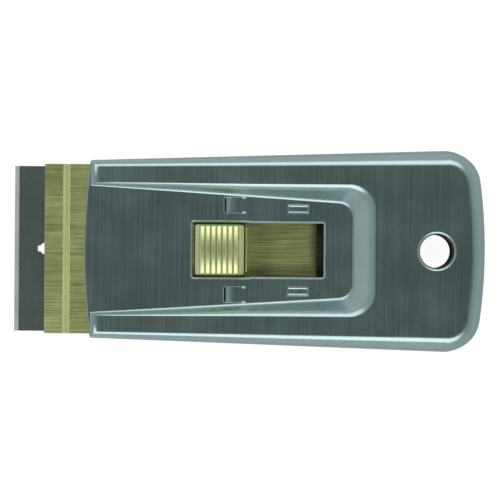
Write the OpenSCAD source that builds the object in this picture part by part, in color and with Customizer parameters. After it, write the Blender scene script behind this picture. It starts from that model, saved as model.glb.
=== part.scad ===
// Retractable razor blade scraper: a wedge-shaped handle pressed from sheet steel, a brass-plated
// carrier that slides in it under a ribbed thumb button, and a single-edge blade in the carrier's jaws.
// Millimetres. X runs from the cutting edge (-X) to the hang hole (+X), Y across, Z up from the rest plane.

/* [Handle] */
// Length of the handle on its centre line
handle_l = 92.7; // [88:0.1:100]
// Width that the straight sides reach at the rear end
handle_rear_w = 47.4; // [44:0.1:52]
// Height at the rear end
handle_rear_h = 10.2; // [9:0.1:13]
// Thickness of the pressed steel sheet
sheet_t = 0.7; // [0.5:0.05:0.8]
// Radius of the two rear corners
rear_corner_r = 8.4; // [6:0.1:11]
// Radius of the bowed rear end
rear_bow_r = 117; // [80:1:200]
// Radius of the bowed front edge
front_bow_r = 143; // [110:1:250]
// Width of the rounded skirt seen from above, at the front
edge_front_w = 1.9; // [1:0.05:2]
// Width of the rounded skirt seen from above, at the rear
edge_rear_w = 4.2; // [2:0.1:4.6]
// Width of the hem folded in under the base plate
hem_w = 1.7; // [1.2:0.1:3]
// Length of the sloped front ends of the two rails
nose_l = 1.5; // [1:0.1:3]

/* [Recess] */
// Width from a stop tab out to the upper edge of the recess
recess_side_w = 3.5; // [3:0.1:4.2]
// Length from the window back to the upper edge of the recess
recess_tail_l = 12.1; // [10:0.1:14]
// Height of the rails above the recess floor at the front
rail_h = 0.8; // [0.5:0.05:1.5]
// Corner radius of the recess at its upper edge
recess_corner_r = 6; // [4:0.1:8]
// Corner radius of the recess at its floor
floor_corner_r = 3.4; // [2:0.1:4]

/* [Window and lances] */
// Length of window left behind the button when it is fully back
window_spare_l = 0.85; // [0.4:0.05:2]
// Width of the chamfer round the window
window_border = 0.5; // [0.2:0.05:0.8]
// Depth of the lock notch on each side of the window
notch_depth = 0.35; // [0.2:0.05:0.5]
// Length of the lock notch
notch_l = 13; // [12:0.1:15]
// Length of a lanced stop tab with its slit
stop_l = 5.4; // [4:0.1:7]
// Width of a lanced stop tab
stop_w = 3.4; // [2.5:0.1:4]
// Width of the slit in front of a stop tab
stop_slit = 0.8; // [0.5:0.05:1.2]
// Length of a pressed tongue guide
guide_l = 5.1; // [4:0.1:6]
// Width of a pressed tongue guide
guide_w = 2.4; // [1.8:0.1:2.8]
// Distance from the front of the window to the middle of the guides
guide_from_window = 23.9; // [22:0.1:25]

/* [Hang hole] */
// Radius of the hang hole
hang_r = 3.8; // [2.5:0.05:5]
// Distance from the hole's centre to the rear end
hang_from_rear = 11.9; // [10:0.1:14]
// Radius of the rounded rim of the hole
hang_rim_r = 0.8; // [0.4:0.05:1.2]
// Length of the collar drawn down inside the hole
hang_collar_l = 2.2; // [1.5:0.1:4]

/* [Carrier] */
// Thickness of the carrier plate
carrier_t = 0.6; // [0.4:0.05:0.8]
// How far the jaw stands out of the handle
carrier_out = 9.15; // [8:0.05:10]
// Length of the riveted part of the jaws, behind the blade
rivet_land_l = 10.3; // [8:0.1:12]
// Length from the jaw's shoulder to the button, which holds the spring's foot
spring_land_l = 10.65; // [9:0.05:13]
// Length of the tongue behind the button
tongue_tail_l = 16.75; // [14:0.05:18]
// Width of the strip of tongue on each side of the button
tongue_strip_w = 2.05; // [1.7:0.05:3]
// Width of the bead pressed across the jaw
bead_w = 1.4; // [1:0.1:2]
// Depth of the bead
bead_depth = 0.35; // [0.2:0.05:0.5]
// Distance from the front of the jaw to the middle of the bead
bead_from_front = 5.05; // [4:0.05:5.5]
// Thickness of the side lips that keep the blade from sliding out sideways
lip_t = 0.3; // [0.2:0.05:0.4]
// Thickness of the lower jaw
jaw_t = 0.5; // [0.4:0.05:0.6]
// How far the lower jaw's front edge stands back from the carrier's
jaw_set_back = 0.8; // [0.5:0.1:2]
// How far the cutting edge goes in behind the handle's front edge
retract_depth = 1.3; // [0.5:0.1:2]

/* [Thumb button] */
// Length of the button
button_l = 11.2; // [10.5:0.1:13]
// Width of the button
button_w = 11.6; // [10:0.1:13]
// Height of the crown above the carrier plate
button_h = 3.1; // [2.6:0.1:4]
// Fall of the crown from the middle to its sides
crown_fall = 1.15; // [0.6:0.05:1.4]
// Fall of the crown from the middle to its front and rear ribs
dome_fall = 0.35; // [0.1:0.05:0.6]
// Number of ribs
rib_count = 7; // [4:1:7]
// Distance from rib to rib
rib_pitch = 1.3; // [1:0.05:1.3]
// Depth of the grooves between the ribs
rib_depth = 0.28; // [0.15:0.01:0.4]
// Length of the lower apron behind the ribs
apron_l = 1.15; // [0.5:0.05:1.3]
// Thickness of the flange that holds the button in under the carrier
flange_t = 0.6; // [0.4:0.05:0.7]
// Width of that flange past the sides of the button
flange_w = 1.2; // [0.8:0.05:1.6]
// How far the button can be pressed
press_travel = 1; // [0.6:0.1:1]
// Thickness of the leaf spring under the button
spring_t = 0.3; // [0.2:0.05:0.35]
// Width of the leaf spring
spring_w = 8; // [6:0.5:10]

/* [Blade] */
// Length of the cutting edge
blade_l = 38.1; // [36:0.05:40]
// Width from the cutting edge to the back
blade_w = 19.05; // [18:0.05:20]
// Thickness of the blade
blade_t = 0.23; // [0.2:0.01:0.3]
// How far the blade stands out of the jaws
blade_out = 7.05; // [6:0.05:8]
// Width of the ground bevel
bevel_w = 1; // [0.6:0.05:1.5]
// Thickness left at the very edge
edge_t = 0.02; // [0.01:0.01:0.05]
// Thickness of the folded spine
spine_t = 1; // [0.8:0.05:1.1]
// Width of the folded spine
spine_w = 5; // [4:0.1:6]
// Radius of the hole in the blade
blade_hole_r = 1.35; // [1:0.05:1.6]
// Distance from the cutting edge to that hole
blade_hole_from_edge = 7.15; // [6.5:0.05:8]

/* [Rivets] */
// Radius of a rivet's shank
rivet_r = 0.9; // [0.6:0.05:1]
// Radius of a rivet's head
rivet_head_r = 1.7; // [1.3:0.05:1.8]
// Height of a rivet's head
rivet_head_h = 0.45; // [0.3:0.05:0.5]
// Number of rivets that join the two jaws
jaw_rivet_count = 4; // [2:1:5]
// Distance between those rivets
jaw_rivet_pitch = 9.4; // [6:0.1:9.4]
// Distance between the two rivets of the leaf spring
spring_rivet_pitch = 4.2; // [3.8:0.1:4.4]

/* [Clearances] */
// Running gap above and below the carriage
slide_gap = 0.15; // [0.05:0.05:0.2]
// Gap between the blade and its jaws
blade_gap = 0.1; // [0.05:0.05:0.2]
// Gap between the ends of the blade and the side lips
blade_side_gap = 0.15; // [0.1:0.05:0.3]
// Gap between the jaw and the foot of the skirt at the front, with room for the skirt's draft
mouth_gap = 0.5; // [0.45:0.05:0.7]
// Gap between the base plate and the skirt round it
base_gap = 0.15; // [0.1:0.05:0.3]
// Gap round the button in the carrier
button_gap = 0.25; // [0.2:0.05:0.3]
// Gap between the button and the sides of the window
window_gap = 0.375; // [0.2:0.025:0.5]
// Gap between the tongue and the stop tabs
stop_gap = 0.5; // [0.3:0.05:0.8]
// Gap between the tongue and its guides
guide_gap = 0.15; // [0.05:0.05:0.3]
// Gap round a rivet's shank
rivet_gap = 0.02; // [0.01:0.01:0.05]

/* [Hidden] */
$fn = 64;

// Overrun of every cut past the face that it opens
overrun = 2;

// Widths that follow from what passes through what
carrier_w = blade_l + 2 * blade_side_gap + 2 * lip_t;
handle_front_w = carrier_w + 2 * mouth_gap + 2 * sheet_t;
window_w = button_w + 2 * window_gap;
tongue_w = button_w + 2 * button_gap + 2 * tongue_strip_w;
stop_pitch = tongue_w + 2 * stop_gap + stop_w;
recess_w = stop_pitch + stop_w + 2 * recess_side_w;

// Places along the length
overall_l = handle_l + carrier_out + blade_out;
slide_travel = carrier_out + blade_out + retract_depth;
rear_x = overall_l / 2;
front_x = rear_x - handle_l;
carrier_front_x = front_x - carrier_out;
edge_x = carrier_front_x - blade_out;
blade_back_x = edge_x + blade_w;
joggle_x = blade_back_x + 2 * slide_gap;
joggle_l = spine_t + 2 * blade_gap + bead_depth;
shoulder_x = joggle_x + joggle_l + rivet_land_l;
button_front_x = shoulder_x + spring_land_l;
button_rear_x = button_front_x + button_l;
tongue_end_x = button_rear_x + tongue_tail_l;
window_front_x = button_front_x - button_gap;
window_rear_x = button_rear_x + slide_travel + window_spare_l;
recess_end_x = window_rear_x + recess_tail_l;
hang_x = rear_x - hang_from_rear;
stop_free_x = shoulder_x + slide_travel + slide_gap;
stop_x = stop_free_x - stop_slit;
corner_drop = pow(handle_front_w / 2, 2) / (2 * front_bow_r);
nose_foot_x = front_x + corner_drop;
nose_x = nose_foot_x + nose_l;

// Heights of the stacked sheets
base_z = sheet_t;
base_top_z = base_z + sheet_t;
jaw_z = base_top_z + slide_gap;
jaw_top_z = jaw_z + jaw_t;
spine_z = jaw_top_z + blade_gap;
blade_z = spine_z + (spine_t - blade_t) / 2;
carrier_z = jaw_top_z + joggle_l;
carrier_top_z = carrier_z + carrier_t;
floor_under_z = carrier_top_z + slide_gap;
floor_z = floor_under_z + sheet_t;
flange_top_z = carrier_z - blade_gap;
flange_z = flange_top_z - flange_t;
crown_z = carrier_top_z + button_h;

// Slope of the rails from the nose to the rear end, and their height at a place along the length
nose_z = floor_z + rail_h;
rail_slope = (handle_rear_h - nose_z) / (rear_x - nose_x);
function rail_z(x) = nose_z + (x - nose_x) * rail_slope;

// Half the handle's width and the width of its rounded skirt at a place along the length
side_slope = (handle_rear_w - handle_front_w) / 2 / (rear_x - nose_foot_x);
function half_w(x) = handle_front_w / 2 + (x - nose_foot_x) * side_slope;
edge_slope = (edge_rear_w - edge_front_w) / (rear_x - nose_foot_x);
function edge_w(x) = edge_front_w + (x - nose_foot_x) * edge_slope;

// Skirt section: a drafted foot, then a quarter of an ellipse up to the rails' flat top
draft_share = 0.18;
foot_share = 0.76;
skirt_steps = 6;
skirt_shares = concat([[0, 0]], [
    for (i = [0:skirt_steps])
        let (a = 90 * i / skirt_steps)
        [draft_share + (1 - draft_share) * (1 - cos(a)), foot_share + (1 - foot_share) * sin(a)]
]);

// Recess section from the floor to the rails, as shares of the wall's run and of its height
recess_shares = [[0, 0], [0.12, 0.04], [0.24, 0.17], [0.64, 0.74], [0.82, 0.94], [1, 1]];
side_run_share = 1.36;
end_run_share = 1.45;
wall_grow_share = 0.45;

// Run of the recess's side walls at a place along the length
function side_run(x) = (rail_z(x) - floor_z) * side_run_share;

// Height by which the recess wall's curve runs on past the rails' flat top, so that it meets it at an angle
rim_rise = 0.06;

// Rear corner arcs: circles tangent to a straight side and, from inside, to the rear bow
corner_steps = 10;
bow_steps = 6;
side_angle = atan(side_slope);
bow_x = rear_x - rear_bow_r;
side_level = half_w(0) - rear_corner_r / cos(side_angle);
quad_a = 1 + pow(side_slope, 2);
quad_b = side_slope * side_level - bow_x;
quad_c = pow(bow_x, 2) + pow(side_level, 2) - pow(rear_bow_r - rear_corner_r, 2);
corner_x = (-quad_b + sqrt(pow(quad_b, 2) - quad_a * quad_c)) / quad_a;
corner_y = side_level + side_slope * corner_x;
bow_angle = atan2(corner_y, corner_x - bow_x);
normal_angle = 90 + side_angle;

// Stations round the handle's outline from the front of its -Y side: centre, radius and direction
function handle_stations(from_x) = concat(
    [[from_x, -half_w(from_x), 0, -normal_angle]],
    [for (i = [0:corner_steps])
        [corner_x, -corner_y, rear_corner_r, -normal_angle + (normal_angle - bow_angle) * i / corner_steps]],
    [for (i = [1:bow_steps - 1]) [bow_x, 0, rear_bow_r, bow_angle * (2 * i / bow_steps - 1)]],
    [for (i = [0:corner_steps])
        [corner_x, corner_y, rear_corner_r, bow_angle + (normal_angle - bow_angle) * i / corner_steps]],
    [[from_x, half_w(from_x), 0, normal_angle]]
);

// One outline point, set in by a share of the local skirt width and by a further length
function inset_point(s, inset_share, inset) =
    let (d = inset_share * edge_w(s[0] + s[2] * cos(s[3])) + inset)
    [s[0] + (s[2] - d) * cos(s[3]), s[1] + (s[2] - d) * sin(s[3])];

function handle_outline(inset, from_x) = [for (s = handle_stations(from_x)) inset_point(s, 0, inset)];

// A ring of the skirt's outer face, or of its inner face where depth is the sheet's thickness
function skirt_ring(shares, depth, from_x) = [
    for (s = handle_stations(from_x))
        let (p = inset_point(s, shares[0], depth))
        [p.x, p.y, depth + shares[1] * (rail_z(p.x) - 2 * depth)]
];

// A ring of the recess, or of the sheet's far face where depth is the sheet's thickness
function recess_ring(shares, depth, lift, from_x) =
    let (
        grow = depth * wall_grow_share,
        back = 1 - shares[0],
        end_x = recess_end_x + grow - back * (rail_z(recess_end_x) - floor_z) * end_run_share,
        r = floor_corner_r + (recess_corner_r - floor_corner_r) * shares[0] + grow,
        wide = recess_w / 2 + grow,
        front_half = wide - back * side_run(from_x),
        rear_half = wide - back * side_run(end_x - r),
        flat = concat(
            [[from_x, -front_half]],
            [for (i = [0:corner_steps])
                let (a = 90 * i / corner_steps - 90)
                [end_x - r + r * cos(a), -rear_half + r + r * sin(a)]],
            [for (i = [0:corner_steps])
                let (a = 90 * i / corner_steps)
                [end_x - r + r * cos(a), rear_half - r + r * sin(a)]],
            [[from_x, front_half]]
        )
    )
    [for (p = flat) [p.x, p.y, floor_z - depth + shares[1] * (rail_z(p.x) - floor_z + rim_rise) + lift]];

// Solid through rings of equal count, the lowest first, each counter-clockwise from above
module loft(rings) {
    n = len(rings[0]);
    last = len(rings) - 1;
    sides = [
        for (k = [0:last - 1], i = [0:n - 1])
            let (a = k * n + i, b = k * n + (i + 1) % n)
            each [[a, a + n, b + n], [a, b + n, b]]
    ];
    foot = [for (i = [0:n - 1]) i];
    top = [for (i = [n - 1:-1:0]) last * n + i];
    polyhedron(points = [for (ring = rings) each ring], faces = concat([foot, top], sides));
}

// Profile drawn in X and Z, extruded across Y
module across(w) {
    rotate([90, 0, 0])
        linear_extrude(w, center = true)
            children();
}

// Box from two opposite corners
module box(low, high) {
    translate(low)
        cube(high - low);
}

// Rounded rectangle centred on the origin
function rounded(l, w, r) = [
    for (k = [0:3], i = [0:corner_steps])
        let (
            a = 90 * k + 90 * i / corner_steps,
            sx = (k == 0 || k == 3) ? 1 : -1,
            sy = k < 2 ? 1 : -1
        )
        [sx * (l / 2 - r) + r * cos(a), sy * (w / 2 - r) + r * sin(a)]
];

// Front edge shared by the two sheets of the handle
module front_bow(back, low_z, high_z) {
    translate([front_x + back + front_bow_r, 0, low_z])
        cylinder(r = front_bow_r, h = high_z - low_z);
}

// Everything above the rails' sloped front ends
module nose_cut(drop) {
    top_z = handle_rear_h + overrun;
    across(handle_rear_w + overrun)
        polygon([
            [front_x - 3 * overrun, floor_z - drop],
            [nose_foot_x, floor_z - drop],
            [nose_x + nose_l, nose_z + rail_h - drop],
            [nose_x + nose_l, top_z],
            [front_x - 3 * overrun, top_z]
        ]);
}

module skirt_form() {
    difference() {
        loft([for (s = skirt_shares) skirt_ring(s, 0, front_x - overrun)]);
        nose_cut(0);
    }
}

module recess_form(depth, from_x) {
    tall = [recess_shares[len(recess_shares) - 1]];
    loft(concat(
        [for (s = recess_shares) recess_ring(s, depth, 0, from_x)],
        [for (s = tall) recess_ring(s, depth, overrun, from_x)]
    ));
}

// Hollow of the handle: inside of the skirt, clear of the sheet that forms the recess
module hollow_form() {
    start_x = front_x - 2 * overrun;
    difference() {
        loft([for (s = skirt_shares) skirt_ring(s, sheet_t, start_x)]);
        nose_cut(sheet_t);
        recess_form(sheet_t, start_x - overrun);
    }
}

// Opening in the underside, which leaves the folded hem along the sides and the rear
module underside_opening() {
    translate([0, 0, -overrun])
        linear_extrude(sheet_t + 2 * overrun)
            polygon(handle_outline(hem_w, front_x - 2 * overrun));
}

// Rectangular hole in the recess floor with a chamfered upper edge
module window_cut(low_x, high_x, w) {
    depth = window_border;
    rings = [
        for (s = [[-sheet_t - overrun, 0], [-depth, 0], [overrun, depth + overrun]])
            let (a = low_x - s[1], b = high_x + s[1], c = w / 2 + s[1], z = floor_z + s[0])
            [[a, -c, z], [b, -c, z], [b, c, z], [a, c, z]]
    ];
    loft(rings);
}

// Stop tab: lanced on three sides and bent down so that its free end meets the jaw's shoulder
stop_reach_share = 0.8;
stop_drop = slide_gap + carrier_t * stop_reach_share;
stop_hinge_x = stop_x + stop_l;

module stop_tab() {
    across(stop_w)
        polygon([
            [stop_hinge_x + sheet_t, floor_z],
            [stop_hinge_x, floor_z],
            [stop_free_x, floor_z - stop_drop],
            [stop_free_x, floor_under_z - stop_drop],
            [stop_hinge_x, floor_under_z],
            [stop_hinge_x + sheet_t, floor_under_z]
        ]);
}

module stop_hole() {
    translate([stop_x, -stop_w / 2, floor_under_z - overrun])
        cube([stop_l, stop_w, sheet_t + overrun + rail_h]);
}

// Tongue guide: a trough with sloped walls, pressed down out of the floor
guide_x = window_front_x + guide_from_window;
guide_y = tongue_w / 2 + guide_gap + guide_w / 2;
guide_depth_share = 0.7;
guide_wall_share = 0.28;
guide_seat_share = 0.5;
guide_depth = sheet_t * guide_depth_share;

// Solid of a trough from its bottom up to its mouth, then straight up by a lift
module guide_trough(mouth_z, lift) {
    wall = guide_w * guide_wall_share;
    rings = [
        for (s = [[-guide_depth, wall], [0, 0], [lift, 0]])
            let (a = guide_x - guide_l / 2 + s[1], b = guide_x + guide_l / 2 - s[1], c = guide_w / 2 - s[1])
            [for (p = [[a, -c], [b, -c], [b, c], [a, c]]) [p.x, p.y, mouth_z + s[0]]]
    ];
    loft(rings);
}

module guide_dent() {
    guide_trough(floor_z, overrun);
}

module guide_bridge() {
    guide_trough(floor_under_z, (sheet_t - guide_depth) * guide_seat_share);
}

// Hang hole: a bore through both sheets, a collar drawn down from the upper one and a rounded rim
collar_r = hang_r + sheet_t;
collar_seat_share = 0.05;
collar_top_z = rail_z(hang_x - collar_r) - sheet_t * collar_seat_share;
rim_steps = 5;
rim_sweep = 70;
rim_foot_shares = [-0.3, -1.4];

module hang_bore() {
    translate([hang_x, 0, -overrun])
        cylinder(r = hang_r, h = handle_rear_h + 2 * overrun);
}

module hang_collar() {
    translate([hang_x, 0, collar_top_z - hang_collar_l])
        cylinder(r = collar_r, h = hang_collar_l);
}

module hang_rim() {
    round_points = [
        for (i = [0:rim_steps])
            let (a = rim_sweep * i / rim_steps)
            [hang_r + hang_rim_r * (1 - sin(a)), hang_rim_r * (cos(a) - 1)]
    ];
    inner = [hang_r, 0] + hang_rim_r * rim_foot_shares;
    outer_r = hang_r + hang_rim_r;
    translate([hang_x, 0, rail_z(hang_x)])
        rotate([0, -atan(rail_slope), 0])
            rotate_extrude()
                polygon(concat([[0, inner.y], [0, overrun], [outer_r, overrun]], round_points, [inner]));
}

// Upper pressing of the handle: drafted skirt, rails, sunk recess, window, lances and folded hem
module top_shell() {
    color([0.55, 0.6, 0.6])
    difference() {
        union() {
            difference() {
                intersection() {
                    difference() {
                        skirt_form();
                        recess_form(0, front_x - 2 * overrun);
                        hollow_form();
                        underside_opening();
                    }
                    front_bow(0, -overrun, handle_rear_h + overrun);
                }
                window_cut(window_front_x, window_rear_x, window_w);
                window_cut(window_front_x, window_front_x + notch_l, window_w + 2 * notch_depth);
                for (side = [-1, 1]) {
                    translate([0, side * stop_pitch / 2, 0])
                        stop_hole();
                    translate([0, side * guide_y, 0])
                        guide_dent();
                }
            }
            for (side = [-1, 1]) {
                translate([0, side * stop_pitch / 2, 0])
                    stop_tab();
                translate([0, side * guide_y, 0])
                    guide_bridge();
            }
            hang_collar();
        }
        hang_rim();
        hang_bore();
    }
}

// Flat lower sheet of the handle, held by the hem
module base_plate() {
    color([0.52, 0.57, 0.57])
    difference() {
        intersection() {
            translate([0, 0, base_z])
                linear_extrude(sheet_t)
                    polygon(handle_outline(sheet_t + base_gap, front_x - overrun));
            front_bow(base_gap, 0, base_top_z + overrun);
        }
        hang_bore();
    }
}

// Places of the rivets: a row behind the blade, and a pair on the leaf spring's foot
jaw_rivet_x = (joggle_x + joggle_l + shoulder_x) / 2;
jaw_rivet_ys = [for (i = [0:jaw_rivet_count - 1]) (i - (jaw_rivet_count - 1) / 2) * jaw_rivet_pitch];
spring_foot_l = 2 * rivet_head_r + 2 * spring_t;
spring_front_x = shoulder_x + rivet_head_r;
spring_rivet_x = spring_front_x + spring_foot_l / 2;
spring_rivet_ys = [-spring_rivet_pitch / 2, spring_rivet_pitch / 2];
flare_share = 0.75;
rivet_flare_r = rivet_r + carrier_t * flare_share;

// Rivet from its head's seat up to a flush flared end; gap widens it into the cut for its hole
module rivet(x, y, seat_z, gap) {
    flare_z = carrier_top_z - carrier_t * flare_share;
    translate([x, y, 0]) {
        translate([0, 0, seat_z - (gap > 0 ? overrun : 0)])
            cylinder(r = rivet_r + gap, h = carrier_top_z - seat_z + (gap > 0 ? overrun : 0));
        translate([0, 0, flare_z])
            cylinder(r1 = rivet_r + gap, r2 = rivet_flare_r + gap, h = carrier_top_z - flare_z);
        if (gap == 0)
            translate([0, 0, seat_z - rivet_head_h])
                cylinder(r1 = rivet_head_r * flare_share, r2 = rivet_head_r, h = rivet_head_h);
    }
}

// Opening in the tongue that the button rises through
module button_opening() {
    translate([0, 0, carrier_z - overrun])
        linear_extrude(carrier_t + 2 * overrun)
            translate([(button_front_x + button_rear_x) / 2, 0])
                polygon(rounded(button_l + 2 * button_gap, button_w + 2 * button_gap, button_corner_r + button_gap));
}

// Upper jaw and tongue in one sheet, with a bead across the jaw and a lip down each side
bead_x = carrier_front_x + bead_from_front;
bead_flat_share = 0.4;
lip_z = jaw_z;

// Raised edge of the tongue's opening behind the button, which still clears the window when fully back
rear_lip_share = 0.5;
rear_lip_w = window_spare_l - button_gap - slide_gap;
rear_lip_h = carrier_t * rear_lip_share;

module rear_lip() {
    a = button_rear_x + button_gap;
    b = a + rear_lip_w;
    low_z = carrier_top_z - carrier_t * rear_lip_share;
    high_z = carrier_top_z + rear_lip_h;
    chamfer = rear_lip_w * rear_lip_share / 2;
    across(button_w - 2 * button_corner_r)
        polygon([[a, low_z], [b, low_z], [b, high_z - chamfer], [b - chamfer, high_z], [a + chamfer, high_z],
            [a, high_z - chamfer]]);
}

module bead_profile(z, half_top) {
    half_flat = half_top * bead_flat_share;
    polygon([
        [bead_x - half_top, z],
        [bead_x - half_flat, z - bead_depth],
        [bead_x + half_flat, z - bead_depth],
        [bead_x + half_top, z]
    ]);
}

module carrier_plate() {
    color([0.66, 0.64, 0.38])
    difference() {
        union() {
            difference() {
                union() {
                    box(
                        [carrier_front_x, -carrier_w / 2, carrier_z],
                        [shoulder_x, carrier_w / 2, carrier_top_z]
                    );
                    box(
                        [shoulder_x - overrun, -tongue_w / 2, carrier_z],
                        [tongue_end_x, tongue_w / 2, carrier_top_z]
                    );
                }
                across(carrier_w + overrun)
                    bead_profile(carrier_top_z, bead_w / 2);
            }
            across(carrier_w)
                bead_profile(carrier_z, bead_w / 2);
            for (side = [-1, 1])
                translate([0, side * (carrier_w - lip_t) / 2, 0])
                    box(
                        [carrier_front_x + jaw_set_back, -lip_t / 2, lip_z],
                        [shoulder_x - jaw_set_back, lip_t / 2, carrier_z]
                    );
            rear_lip();
        }
        button_opening();
        for (y = jaw_rivet_ys)
            rivet(jaw_rivet_x, y, carrier_z, rivet_gap);
        for (y = spring_rivet_ys)
            rivet(spring_rivet_x, y, carrier_z, rivet_gap);
    }
}

// Lower jaw: flat under the blade, then joggled up to the carrier plate behind it
module lower_jaw() {
    a = carrier_front_x + jaw_set_back;
    b = shoulder_x - jaw_set_back;
    color([0.6, 0.58, 0.36])
    difference() {
        across(carrier_w - 2 * lip_t - 2 * blade_gap)
            polygon([
                [a, jaw_z],
                [joggle_x + jaw_t, jaw_z],
                [joggle_x + joggle_l + jaw_t, carrier_z - jaw_t],
                [b, carrier_z - jaw_t],
                [b, carrier_z],
                [joggle_x + joggle_l, carrier_z],
                [joggle_x, jaw_top_z],
                [a, jaw_top_z]
            ]);
        for (y = jaw_rivet_ys)
            rivet(jaw_rivet_x, y, carrier_z - jaw_t, rivet_gap);
    }
}

module jaw_rivets() {
    color([0.7, 0.68, 0.42])
    for (y = jaw_rivet_ys)
        rivet(jaw_rivet_x, y, carrier_z - jaw_t, 0);
}

// Crown of the button: round-topped ribs revolved about an axis far below, so that they arch across Y
button_corner_r = 0.55;
crown_r = (pow(button_w / 2, 2) + pow(crown_fall, 2)) / (2 * crown_fall);
crown_angle = 2 * asin(button_w / 2 / crown_r);
ribs_l = rib_count * rib_pitch;
ribs_rear_x = button_rear_x - apron_l;
ribs_front_x = ribs_rear_x - ribs_l;
ribs_mid_x = (ribs_front_x + ribs_rear_x) / 2;
rib_steps = 6;
rib_round_share = 0.5;
flank_fall_share = 0.4;
apron_fall_share = 0.5;

// Radius of the ribbed crown at a place along the button
function rib_r(x) =
    let (u = (x - ribs_front_x) / rib_pitch, v = (x - ribs_mid_x) / (ribs_l / 2))
    crown_r - dome_fall * v * v - rib_depth * (1 - pow(abs(sin(180 * u)), rib_round_share));

module ribbed_crown() {
    low_r = crown_r - button_h - carrier_t;
    ribs = [
        for (i = [0:rib_count * rib_steps])
            let (x = ribs_front_x + i * rib_pitch / rib_steps)
            [rib_r(x), -x]
    ];
    front_r = rib_r(ribs_front_x) - button_h * flank_fall_share / 2;
    apron_r = crown_r - button_h * apron_fall_share;
    outline = concat(
        [[low_r, -button_front_x], [front_r, -button_front_x]],
        ribs,
        [[apron_r, -ribs_rear_x], [apron_r, -button_rear_x], [low_r, -button_rear_x]]
    );
    translate([0, 0, crown_z - crown_r])
        rotate([0, -90, 0])
            rotate([0, 0, -crown_angle])
                rotate_extrude(angle = 2 * crown_angle)
                    polygon(outline);
}

module thumb_button() {
    mid_x = (button_front_x + button_rear_x) / 2;
    color([0.74, 0.73, 0.48]) {
        intersection() {
            ribbed_crown();
            translate([mid_x, 0, flange_z])
                linear_extrude(crown_z - flange_z + overrun)
                    polygon(rounded(button_l, button_w, button_corner_r));
        }
        translate([mid_x, 0, flange_top_z])
            linear_extrude(carrier_top_z - flange_top_z)
                polygon(rounded(button_l, button_w, button_corner_r));
        translate([mid_x, 0, flange_z])
            linear_extrude(flange_t)
                polygon(rounded(button_l + 2 * flange_w, button_w + 2 * flange_w, button_corner_r + flange_w));
    }
}

// Leaf spring: riveted in front of the button, bent down and run back under the button's flange
spring_touch_share = 0.7;
spring_tip_share = 0.3;

module button_spring() {
    foot_rear_x = spring_front_x + spring_foot_l;
    flange_front_x = button_front_x - flange_w;
    dip_x = flange_front_x - spring_t;
    touch_x = button_front_x + button_l * spring_touch_share;
    rest_z = base_top_z + press_travel / 2;
    touch_z = flange_z - blade_gap / 2;
    tip_x = button_rear_x;
    line = [
        [spring_front_x, carrier_z],
        [foot_rear_x, carrier_z],
        [dip_x, rest_z + spring_t],
        [dip_x + flange_w, rest_z + spring_t],
        [touch_x, touch_z],
        [tip_x, touch_z - spring_t * spring_tip_share]
    ];
    color([0.45, 0.47, 0.48])
    difference() {
        across(spring_w)
            polygon(concat(
                line,
                [for (i = [len(line) - 1:-1:0]) line[i] - [0, spring_t]]
            ));
        for (y = spring_rivet_ys)
            rivet(spring_rivet_x, y, carrier_z - spring_t, rivet_gap);
    }
}

module spring_rivets() {
    color([0.7, 0.68, 0.42])
    for (y = spring_rivet_ys)
        rivet(spring_rivet_x, y, carrier_z - spring_t, 0);
}

// Single-edge blade with a ground bevel on both faces and a hole with a short, wide nick
nick_l_share = 0.31;
nick_w_share = 0.96;

module blade() {
    mid_z = blade_z + blade_t / 2;
    hole_x = edge_x + blade_hole_from_edge;
    nick_l = blade_hole_r * nick_l_share;
    nick_w = blade_hole_r * nick_w_share;
    color([0.36, 0.4, 0.39])
    difference() {
        across(blade_l)
            polygon([
                [edge_x, mid_z - edge_t / 2],
                [edge_x + bevel_w, blade_z],
                [blade_back_x, blade_z],
                [blade_back_x, blade_z + blade_t],
                [edge_x + bevel_w, blade_z + blade_t],
                [edge_x, mid_z + edge_t / 2]
            ]);
        translate([hole_x, 0, blade_z - overrun])
            cylinder(r = blade_hole_r, h = blade_t + 2 * overrun);
        box(
            [hole_x - blade_hole_r - nick_l, -nick_w / 2, blade_z - overrun],
            [hole_x, nick_w / 2, blade_z + blade_t + overrun]
        );
    }
}

// Spine folded over the back of the blade
module blade_spine() {
    wall = (spine_t - blade_t) / 2;
    color([0.5, 0.53, 0.53])
    difference() {
        box(
            [blade_back_x - spine_w, -blade_l / 2, spine_z],
            [blade_back_x + blade_gap, blade_l / 2, spine_z + spine_t]
        );
        box(
            [blade_back_x - spine_w - overrun, -blade_l / 2 - overrun, spine_z + wall],
            [blade_back_x, blade_l / 2 + overrun, spine_z + wall + blade_t]
        );
    }
}

top_shell();
base_plate();
carrier_plate();
lower_jaw();
jaw_rivets();
thumb_button();
button_spring();
spring_rivets();
blade();
blade_spine();
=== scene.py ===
"""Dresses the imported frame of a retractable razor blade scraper.

The handle is pressed from satin-plated sheet steel, the carrier and its thumb button are brass-plated, and a
single-edge blade sits in the carrier's jaws. Shapes are worked out in millimetres and turned into metres when
a piece is finished. X runs from the cutting edge to the hang hole, Y across the handle and Z up from the
floor.
"""

from __future__ import annotations

import logging
import math
from dataclasses import dataclass
from enum import Enum

import bmesh
import bpy
import numpy as np
from mathutils import Matrix, Vector

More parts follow.
